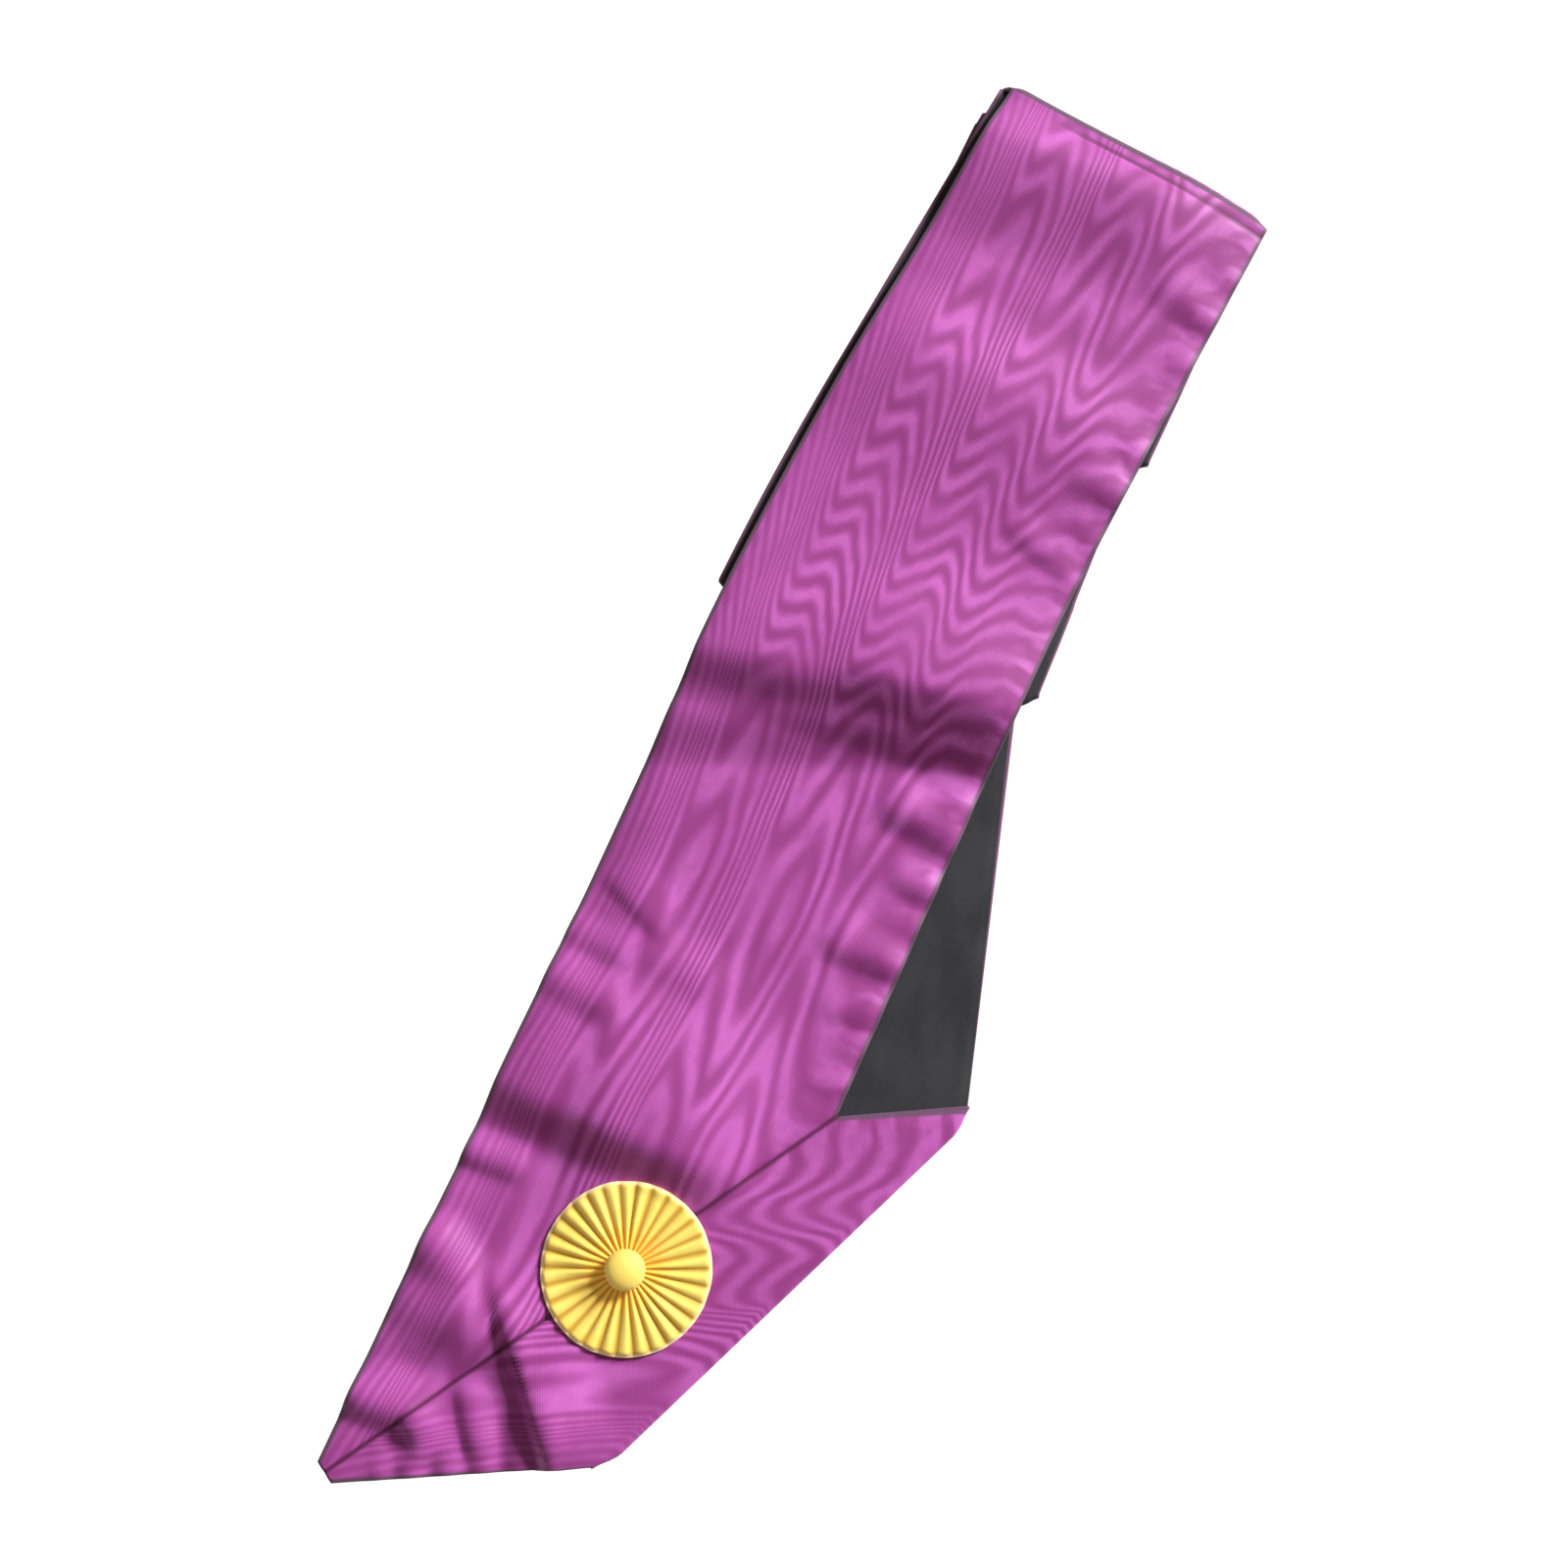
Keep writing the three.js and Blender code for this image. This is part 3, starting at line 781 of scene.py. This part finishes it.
# %% Shader helpers
class Nodes:
    """Adds nodes to a node tree and links them as it goes."""

    def __init__(self, tree):
        self.tree = tree

    def add(self, kind, **settings):
        node = self.tree.nodes.new(kind)
        for key, value in settings.items():
            setattr(node, key, value)
        return node

    def put(self, socket, value):
        if isinstance(value, bpy.types.NodeSocket):
            self.tree.links.new(value, socket)
        else:
            socket.default_value = value

    def fill(self, node, **values):
        """Puts a value into each named input; an underscore stands for a space."""
        for name, value in values.items():
            self.put(node.inputs[name.replace("_", " ")], value)

    def math(self, operation, *values):
        node = self.add("ShaderNodeMath", operation=operation)
        for socket, value in zip(node.inputs, values):
            self.put(socket, value)
        return node.outputs[0]

    def ramp(self, value, low, high, to_low=0.0, to_high=1.0):
        """Softly from to_low to to_high while the value goes from low to high."""
        node = self.add("ShaderNodeMapRange", interpolation_type="SMOOTHSTEP")
        self.fill(node, Value=value, From_Min=low, From_Max=high, To_Min=to_low, To_Max=to_high)
        return node.outputs[0]

    def combine(self, x, y, z=0.0):
        node = self.add("ShaderNodeCombineXYZ")
        for socket, value in zip(node.inputs, (x, y, z)):
            self.put(socket, value)
        return node.outputs[0]

    def noise(self, vector, scale, detail=2.0, roughness=0.5):
        node = self.add("ShaderNodeTexNoise")
        self.fill(node, Vector=vector, Scale=scale, Detail=detail, Roughness=roughness)
        return node.outputs["Fac"]

    def patches(self, first, first_size, second, second_size, level, detail=2.0):
        """Noise whose patches have a size of their own, in mm, in each of two directions."""
        place = self.combine(self.math("DIVIDE", first, first_size),
                             self.math("DIVIDE", second, second_size), level)
        return self.noise(place, 1.0, detail)

    def mix(self, factor, first, second):
        node = self.add("ShaderNodeMix", data_type="RGBA")
        for index, value in (("Factor", factor), (6, first), (7, second)):
            self.put(node.inputs[index], value)
        return node.outputs[2]

    def curve(self, value, points):
        node = self.add("ShaderNodeFloatCurve")
        self.put(node.inputs["Value"], value)
        line = node.mapping.curves[0]
        while len(line.points) > 2:
            line.points.remove(line.points[1])
        line.points[0].location = points[0]
        line.points[-1].location = points[-1]
        for place in points[1:-1]:
            line.points.new(*place)
        for point in line.points:
            point.handle_type = "AUTO"
        node.mapping.update()
        return node.outputs[0]


def new_group(name, inputs, outputs):
    """An empty shader group. Its inputs, with their usual values, and its outputs are numbers."""
    tree = bpy.data.node_groups.new(name, "ShaderNodeTree")
    for label, usual in inputs.items():
        socket = tree.interface.new_socket(name=label, in_out="INPUT", socket_type="NodeSocketFloat")
        socket.default_value = usual
    for label in outputs:
        tree.interface.new_socket(name=label, in_out="OUTPUT", socket_type="NodeSocketFloat")
    nodes = Nodes(tree)
    return tree, nodes, nodes.add("NodeGroupInput").outputs, nodes.add("NodeGroupOutput").inputs


print("shader helpers:", [name for name in vars(Nodes) if not name.startswith("_")])

# %% [markdown]
# All three cloths are woven, and all three vary a little in tone. Both effects are shader groups:
# built once, with named inputs, and placed in each material with its own values. The weave works
# in millimetres on the cloth, so it stays the same size round every fold.

# %% The two shared groups
FULL_TURN = 6.2832
SLUB_STRETCH = 0.15
SLUB_SCALE = 1.4
CROSSED_SHARE = 0.3
RIB_SHARE = 0.35
PATCH_STRETCH = 0.6
PATCH_SHARE = 0.7
GRAIN_SHARE = 0.3


def thread_wave(nodes, place, spacing):
    """A wave that repeats after each thread."""
    return nodes.math("SINE", nodes.math("DIVIDE", nodes.math("MULTIPLY", place, FULL_TURN), spacing))


def weave_group():
    """Height of a plain weave: ribs of the two sets of threads, with a little unevenness."""
    tree, nodes, given, out = new_group(
        "cloth_weave", {"Across": 0.0, "Along": 0.0, "Thread": 0.5, "Rib": 0.6}, ["Height"])
    across = thread_wave(nodes, given["Across"], given["Thread"])
    along = thread_wave(nodes, given["Along"], given["Rib"])
    crossed = nodes.math("MULTIPLY", nodes.math("MULTIPLY", across, along), CROSSED_SHARE)
    place = nodes.combine(nodes.math("MULTIPLY", given["Across"], SLUB_STRETCH), given["Along"])
    threads = nodes.math("ADD", crossed, nodes.math("MULTIPLY", along, RIB_SHARE))
    nodes.put(out["Height"], nodes.math("ADD", threads, nodes.noise(place, SLUB_SCALE, 3.0)))
    return tree


def tone_group():
    """Slow and fine unevenness of dye and light, as a mask round one half."""
    tree, nodes, given, out = new_group(
        "cloth_tone", {"Across": 0.0, "Along": 0.0, "Patch": 30.0, "Grain": 2.0}, ["Tone"])
    place = nodes.combine(given["Across"], nodes.math("MULTIPLY", given["Along"], PATCH_STRETCH))
    patches = nodes.noise(place, nodes.math("DIVIDE", 1.0, given["Patch"]), 2.0)
    grain = nodes.noise(place, nodes.math("DIVIDE", 1.0, given["Grain"]), 3.0, 0.6)
    slow = nodes.math("MULTIPLY", patches, PATCH_SHARE)
    nodes.put(out["Tone"], nodes.math("ADD", slow, nodes.math("MULTIPLY", grain, GRAIN_SHARE)))
    return tree


cloth_weave = weave_group()
cloth_tone = tone_group()
print("shared groups:", cloth_weave.name, cloth_tone.name)

# %% [markdown]
# Watered ribbon, or moire, is ribbed cloth that was pressed double: where the ribs of the two
# layers crossed, they were crushed, and light and dark lines wander over the cloth like the grain
# of wood. Those lines are contours of a slowly changing offset between the ribs. So the pattern is
# made that way: one curve gives the offset across the ribbon, one along it, a stretched noise
# bends both, and a sine draws the contours.

# %% The watered pattern
# Lines that a step across the ribbon crosses, counted from 20 mm inside the outer edge
LINES_ACROSS = [
    (0, 8.2), (3, 7.5), (6, 6.6), (9, 5.6), (18, 0.3), (20, 0), (24, 0.15), (28, 0.4), (33, -0.3),
    (37, -1.1), (39.5, -2.1), (43, -3.8), (47.5, -5.8), (49, -5.85), (53, -5.5), (57, -5.0),
    (60, -4.7), (63, -4.9), (66, -5.5), (69, -6.3), (73, -6.8), (77, -6.5), (80, -5.9),
    (84, -5.35), (90, -5.1), (101.6, -4.95),
]
# Lines that a step along the left and the right ribbon crosses
LINES_LEFT = [
    (0, 2.6), (20, 1.6), (40, 0.4), (62, -0.6), (85, -1.5), (100, -1.65), (125, -1.55),
    (145, -1.65), (157, -2.1), (170, -2.6), (187, -3.1), (205, -3.5), (220, -3.6), (235, -3.4),
    (243, -3.1), (262, -2.6), (279, -2.1), (286, -1.6), (295, -0.6), (304, 0.4), (314, 1.4),
    (334, 3.4), (355, 5.4), (380, 7.4), (405, 9.4), (419, 10.4), (446, 11.3), (462, 11.7),
    (473, 12.4), (490, 13.4), (740, 38),
]
LINES_RIGHT = [
    (0, 1.6), (20, 0.4), (45, -0.5), (70, -0.9), (95, -0.7), (112, -0.1), (125, 0.8), (150, 3.0),
    (200, 7.4), (260, 12), (330, 13.5), (400, 17), (500, 26), (620, 30), (740, 38),
]
LONGEST = 740
CURVE_MARGIN = 0.5


def line_curve(nodes, value, span, points):
    """Reads a curve of line counts. A curve node only holds values from 0 to 1, so both are scaled."""
    counts = [count for _, count in points]
    low, reach = min(counts) - CURVE_MARGIN, max(counts) - min(counts) + 2 * CURVE_MARGIN
    scaled = [(place / span, (count - low) / reach) for place, count in points]
    share = nodes.curve(nodes.math("DIVIDE", value, span), scaled)
    return nodes.math("MULTIPLY_ADD", share, reach, low)


def water_group():
    """Lines is 1 on a light line and 0 on a dark one; Strength says how clear they are there."""
    tree, nodes, given, out = new_group(
        "watered_lines", {"Across": 0.0, "Along": 0.0, "Count": 0.0, "Wander": 0.3},
        ["Lines", "Strength"])
    across = line_curve(nodes, given["Across"], RIBBON_WIDTH, LINES_ACROSS)
    bend = nodes.patches(given["Across"], 9.0, given["Along"], 26.0, 4.0)
    bend = nodes.math("MULTIPLY", nodes.math("SUBTRACT", bend, 0.5), given["Wander"])
    count = nodes.math("ADD", nodes.math("SUBTRACT", given["Count"], across), bend)
    wave = nodes.math("COSINE", nodes.math("MULTIPLY", count, FULL_TURN))
    nodes.put(out["Lines"], nodes.math("MULTIPLY_ADD", wave, 0.5, 0.5))
    clear = nodes.patches(given["Across"], 16.0, given["Along"], 30.0, 3.0)
    nodes.put(out["Strength"], nodes.ramp(clear, 0.3, 0.6, 0.55, 1.0))
    return tree


watered_lines = water_group()
print("watered pattern:", watered_lines.name)

# %% [markdown]
# Every finish starts the same way: it reads the place on the cloth from the UV map, in millimetres
# from the outer edge and from the point of the V. Colours are written down as they are read from a
# picture, because that is how they are compared, and turned into the shader's linear values.

# %% What every finish starts with
def srgb(red, green, blue):
    """A colour read as 0 to 255 in a picture, as the linear values that a shader takes."""
    def linear(value):
        return value / 12.92 if value <= 0.04045 else ((value + 0.055) / 1.055) ** 2.4
    return (*(linear(value / 255) for value in (red, green, blue)), 1.0)


def start_material(name):
    material = bpy.data.materials.new(name)
    material.use_nodes = True
    nodes = Nodes(material.node_tree)
    shader = material.node_tree.nodes["Principled BSDF"]
    place = nodes.add("ShaderNodeUVMap", uv_map="ribbon")
    parts = nodes.add("ShaderNodeSeparateXYZ")
    nodes.put(parts.inputs[0], place.outputs[0])
    across, along = (nodes.math("MULTIPLY", parts.outputs[index], 1 / MM) for index in (0, 1))
    print("finish:", name)
    return material, nodes, shader, across, along


def use_group(nodes, group, **values):
    node = nodes.add("ShaderNodeGroup", node_tree=group)
    nodes.fill(node, **values)
    return node.outputs


def from_edge(nodes, across):
    """Distance in mm from the nearer long edge of the cloth."""
    return nodes.math("MINIMUM", across, nodes.math("SUBTRACT", RIBBON_WIDTH, across))


def add_bump(nodes, shader, height, strength, distance):
    """Turns a height into a bump; distance is the height of 1 in mm."""
    bump = nodes.add("ShaderNodeBump")
    nodes.fill(bump, Strength=strength, Distance=distance * MM, Height=height)
    nodes.put(shader.inputs["Normal"], bump.outputs[0])


# %% [markdown]
# The moire ribbon is a warm purple satin. Its colour runs from a dark to a light purple along the
# watered lines, its two selvedges are a greyer mauve, and its ribs catch the light, so the lines
# change the gloss a little as well. Shade is painted in too: a dark line along the mitre seam, and
# a greyer fold with a darker groove beside it at the top of the front.

# %% Moire ribbon
PURPLE_DARK = srgb(158, 62, 141)
PURPLE_MID = srgb(179, 80, 166)
PURPLE_LIGHT = srgb(204, 103, 195)
# Grey mauve of the selvedges; the same colour is also painted on the top fold as its shade
SELVEDGE_AND_FOLD_SHADE = srgb(104, 78, 100)
# Painted shade for the dark line along the mitre seam and for the groove below the top fold
PURPLE_CREASE_SHADE = srgb(96, 34, 76)


# The lines ruffle between these two places near the inner edge, and are calmer at the outer one
RUFFLE_FROM = 84.0
RUFFLE_FULL = 97.0
CALM_TO = 16.0
CLEAR_FROM = 20.0


def watered_count(nodes, across, along, lines_along):
    """Number of the line at a place, with a ruffle near the inner edge."""
    count = line_curve(nodes, along, LONGEST, lines_along)
    ruffle = nodes.patches(along, 6.5, across, 14.0, 0.0, detail=1.0)
    reach = nodes.ramp(across, RUFFLE_FROM, RUFFLE_FULL, 0.0, 1.5)
    ruffle = nodes.math("MULTIPLY", nodes.math("SUBTRACT", ruffle, 0.5), reach)
    return nodes.math("ADD", count, ruffle)


def watered_colour(nodes, water, across, tone):
    """Dark to light purple along the lines, a little darker in slow patches."""
    clear = nodes.ramp(across, CALM_TO, CLEAR_FROM, 0.6, 1.0)
    strength = nodes.math("MULTIPLY", water["Strength"], clear)
    light = nodes.math("MULTIPLY", nodes.ramp(water["Lines"], 0.42, 1.0), strength)
    dark = nodes.math("MULTIPLY", nodes.ramp(water["Lines"], 0.5, 0.0), strength)
    colour = nodes.mix(light, PURPLE_MID, PURPLE_LIGHT)
    colour = nodes.mix(dark, colour, PURPLE_DARK)
    return nodes.mix(nodes.ramp(tone, 0.6, 0.38, 0.0, 0.4), colour, PURPLE_DARK)


def top_fold_shade(nodes, colour, across, along):
    """Painted shade: greyer on the fold at the top of the front, and darker in the stitched groove beside
    it.
    """
    slope = float(FRONT_INNER - FRONT_OUTER) / RIBBON_WIDTH
    fold = nodes.math("MULTIPLY_ADD", across, slope, float(FRONT_OUTER))
    past_fold = nodes.math("SUBTRACT", along, fold)
    fold_shade = nodes.math("MULTIPLY", nodes.ramp(past_fold, -0.7, 0.1),
                         nodes.ramp(past_fold, 5.0, 4.0))
    colour = nodes.mix(fold_shade, colour, SELVEDGE_AND_FOLD_SHADE)
    from_groove = nodes.math("ABSOLUTE", nodes.math("ADD", past_fold, GROOVE_PLACE))
    groove_shade = nodes.math("MULTIPLY", nodes.ramp(from_groove, 1.5, 0.3, 0.0, 0.75),
                           nodes.ramp(across, 14.0, 40.0))
    return nodes.mix(groove_shade, colour, PURPLE_CREASE_SHADE)


def moire_material(name, lines_along, has_top_fold):
    material, nodes, shader, across, along = start_material(name)
    count = watered_count(nodes, across, along, lines_along)
    water = use_group(nodes, watered_lines, Across=across, Along=along, Count=count, Wander=0.5)
    tone = use_group(nodes, cloth_tone, Across=across, Along=along, Patch=22.0, Grain=2.5)["Tone"]
    colour = watered_colour(nodes, water, across, tone)
    selvedge = nodes.ramp(from_edge(nodes, across), 1.8, 0.9, 0.0, 0.9)
    colour = nodes.mix(selvedge, colour, SELVEDGE_AND_FOLD_SHADE)
    # Painted shade: a dark line along the mitre seam, where the two cloths dip into it
    seam = nodes.math("DIVIDE", across, math.tan(HALF_POINT))
    seam_shade = nodes.ramp(nodes.math("SUBTRACT", along, seam), 2.4, 0.4, 0.0, 0.85)
    colour = nodes.mix(seam_shade, colour, PURPLE_CREASE_SHADE)
    if has_top_fold:
        colour = top_fold_shade(nodes, colour, across, along)
    nodes.put(shader.inputs["Base Color"], colour)
    nodes.put(shader.inputs["Roughness"], nodes.ramp(water["Lines"], 0.0, 1.0, 0.58, 0.46))
    shader.inputs["Specular IOR Level"].default_value = 0.3
    shader.inputs["Sheen Weight"].default_value = 0.12
    shader.inputs["Sheen Roughness"].default_value = 0.4
    weave = use_group(nodes, cloth_weave, Across=across, Along=along, Thread=0.45, Rib=0.7)
    relief = nodes.math("ADD", weave["Height"], nodes.math("MULTIPLY", water["Lines"], 0.6))
    add_bump(nodes, shader, relief, 0.35, 0.12)
    return material


moire_left = moire_material("moire_left", LINES_LEFT, has_top_fold=True)
moire_right = moire_material("moire_right", LINES_RIGHT, has_top_fold=False)

# %% [markdown]
# The lining is a matt charcoal cotton with a faint mottling. The ribbon's edge is turned a little
# way round it, which shows as a thin mauve line along both of its edges.

# %% Charcoal lining
CHARCOAL = srgb(64, 65, 69)
CHARCOAL_DARK = srgb(53, 54, 58)
TURNED_EDGE = srgb(120, 84, 112)


def lining_material():
    material, nodes, shader, across, along = start_material("charcoal_lining")
    tone = use_group(nodes, cloth_tone, Across=across, Along=along, Patch=14.0, Grain=1.2)["Tone"]
    colour = nodes.mix(nodes.ramp(tone, 0.35, 0.65), CHARCOAL_DARK, CHARCOAL)
    turned = nodes.ramp(from_edge(nodes, across), 1.3, 0.7)
    colour = nodes.mix(turned, colour, TURNED_EDGE)
    nodes.put(shader.inputs["Base Color"], colour)
    nodes.put(shader.inputs["Roughness"], nodes.ramp(tone, 0.3, 0.7, 0.95, 0.86))
    shader.inputs["Specular IOR Level"].default_value = 0.15
    weave = use_group(nodes, cloth_weave, Across=across, Along=along, Thread=0.6, Rib=0.6)["Height"]
    add_bump(nodes, shader, weave, 0.3, 0.12)
    return material


charcoal = lining_material()

# %% [markdown]
# The rosette and the button are one yellow ribbon. Shade is painted down in the valleys between the
# pleats, the cloth turns a warmer yellow towards the gathered middle, and the folded outer edge is paler.

# %% Yellow rosette cloth
YELLOW = srgb(254, 230, 116)
# Painted shade for the valleys between the pleats, out at the rim and in the gathered middle
YELLOW_VALLEY_SHADE = srgb(196, 150, 40)
YELLOW_HEART_SHADE = srgb(214, 132, 30)
YELLOW_WARM = srgb(252, 204, 66)
YELLOW_RIM = srgb(255, 230, 165)


def yellow_material(name, is_pleated):
    material, nodes, shader, across, along = start_material(name)
    tone = use_group(nodes, cloth_tone, Across=across, Along=along, Patch=5.0, Grain=0.8)["Tone"]
    colour = nodes.mix(nodes.ramp(tone, 0.35, 0.65, 0.0, 0.35), YELLOW, YELLOW_WARM)
    if is_pleated:
        fraction = nodes.math("FRACT", along)
        valley = nodes.math("MINIMUM", fraction, nodes.math("SUBTRACT", 1.0, fraction))
        colour = nodes.mix(nodes.ramp(across, 16.0, 8.0, 0.0, 0.8), colour, YELLOW_WARM)
        # Painted shade down in the valleys between the pleats, more orange towards the middle
        groove = nodes.mix(nodes.ramp(across, 17.0, 8.0), YELLOW_VALLEY_SHADE, YELLOW_HEART_SHADE)
        colour = nodes.mix(nodes.ramp(valley, 0.3, 0.02, 0.0, 0.9), colour, groove)
        colour = nodes.mix(nodes.ramp(across, 25.2, 25.9), colour, YELLOW_RIM)
    nodes.put(shader.inputs["Base Color"], colour)
    nodes.put(shader.inputs["Roughness"], nodes.ramp(tone, 0.3, 0.7, 0.62, 0.5))
    shader.inputs["Specular IOR Level"].default_value = 0.35
    shader.inputs["Sheen Weight"].default_value = 0.2
    weave = use_group(nodes, cloth_weave, Across=across, Along=along, Thread=0.4, Rib=0.5)["Height"]
    add_bump(nodes, shader, weave, 0.25, 0.08)
    return material


yellow_pleats = yellow_material("yellow_pleats", True)
yellow_button = yellow_material("yellow_button", False)

# %% [markdown]
# Now every piece gets its finish and its role. It rides on the collar's one body and stands for the
# plain CAD solid of the same cloth.

# %% Finishes and roles
ROLES = [
    (left_face, moire_left, "strap_left_face", "moire_ribbon"),
    (left_lining, charcoal, "strap_left_lining", "lining"),
    (right_face, moire_right, "strap_right_face", "moire_ribbon"),
    (right_lining, charcoal, "strap_right_lining", "lining"),
    (rosette, yellow_pleats, "rosette_ribbon", "rosette_cloth"),
    (button, yellow_button, "rosette_button", "rosette_cloth"),
]
for piece, material, node, slot in ROLES:
    piece.data.materials.append(material)
    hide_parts(node)
    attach(piece, "root")
print("pieces:", [piece.name for piece, *_ in ROLES])

# %% [markdown]

# %% [markdown]
# A plain white table stands in for the white of a product photograph. It is lit by a lamp of its own
# and burnt out to white, which light linking allows without touching the collar. Painting the
# floor as a light would do the same in the picture, but it would shine up onto the cloth.

# %% Table and surroundings
HALF_FLOOR = 3.0
FLOOR_DROP = 0.0004
FLOOR_CORNERS = ((-1, -1), (1, -1), (1, 1), (-1, 1))


def make_floor():
    """A square table top just under the collar."""
    mesh = bpy.data.meshes.new("floor")
    corners = [(x * HALF_FLOOR, y * HALF_FLOOR, -FLOOR_DROP) for x, y in FLOOR_CORNERS]
    mesh.from_pydata(corners, [], [(0, 1, 2, 3)])
    finish = bpy.data.materials.new("floor")
    finish.use_nodes = True
    shader = finish.node_tree.nodes["Principled BSDF"]
    shader.inputs["Base Color"].default_value = (0.93, 0.93, 0.93, 1)
    shader.inputs["Roughness"].default_value = 0.9
    mesh.materials.append(finish)
    table = bpy.data.objects.new("floor", mesh)
    bpy.context.collection.objects.link(table)
    return table


floor = make_floor()

world = bpy.data.worlds.new("studio")
world.use_nodes = True
surroundings = world.node_tree.nodes["Background"]
surroundings.inputs["Color"].default_value = (1, 0.84, 0.74, 1)
surroundings.inputs["Strength"].default_value = 0.2
bpy.context.scene.world = world
bpy.context.scene.view_settings.view_transform = "Standard"
print("table and", world.name, "surroundings")

# %% [markdown]
# One soft lamp, low at the upper right and far off, gives every fold a lit and a shaded side. The
# dim warm surroundings fill the shadows, which stay as reddish as in the photograph. The rosette
# would be too dark on its far side, so a weak lamp straight above lights it alone.

# %% Lamps
KEY_DIRECTION = PICTURE_UP * 0.58 + PICTURE_RIGHT * 0.76 + Vector((0, 0, 0.58))
STRAIGHT_ABOVE = (0, 0, 1)
COLLAR = [piece for piece, *_ in ROLES]


def add_lamp(name, pieces, direction, distance, size, power):
    """A square soft lamp that looks at the middle of the collar and lights only some pieces."""
    lamp = bpy.data.objects.new(name, bpy.data.lights.new(name, "AREA"))
    lamp.data.size = size
    lamp.data.energy = power
    toward = Vector(direction).normalized()
    lamp.location = toward * distance
    lamp.rotation_euler = toward.to_track_quat("Z", "Y").to_euler()
    bpy.context.collection.objects.link(lamp)
    lit = bpy.data.collections.new(name)
    for piece in pieces:
        lit.objects.link(piece)
    lamp.light_linking.receiver_collection = lit
    return lamp


add_lamp("key", COLLAR, KEY_DIRECTION, distance=6.0, size=1.5, power=570)
table_lamp = add_lamp("table", [floor], STRAIGHT_ABOVE, distance=2.2, size=0.6, power=50)
add_lamp("rosette", [rosette, button], STRAIGHT_ABOVE, distance=2.2, size=1.2, power=8)
# The collar casts no shadow in the table's own light, so the table stays white beside it
table_lamp.light_linking.blocker_collection = table_lamp.light_linking.receiver_collection
print("lamps:", [light.name for light in bpy.data.lights])

# %% [markdown]
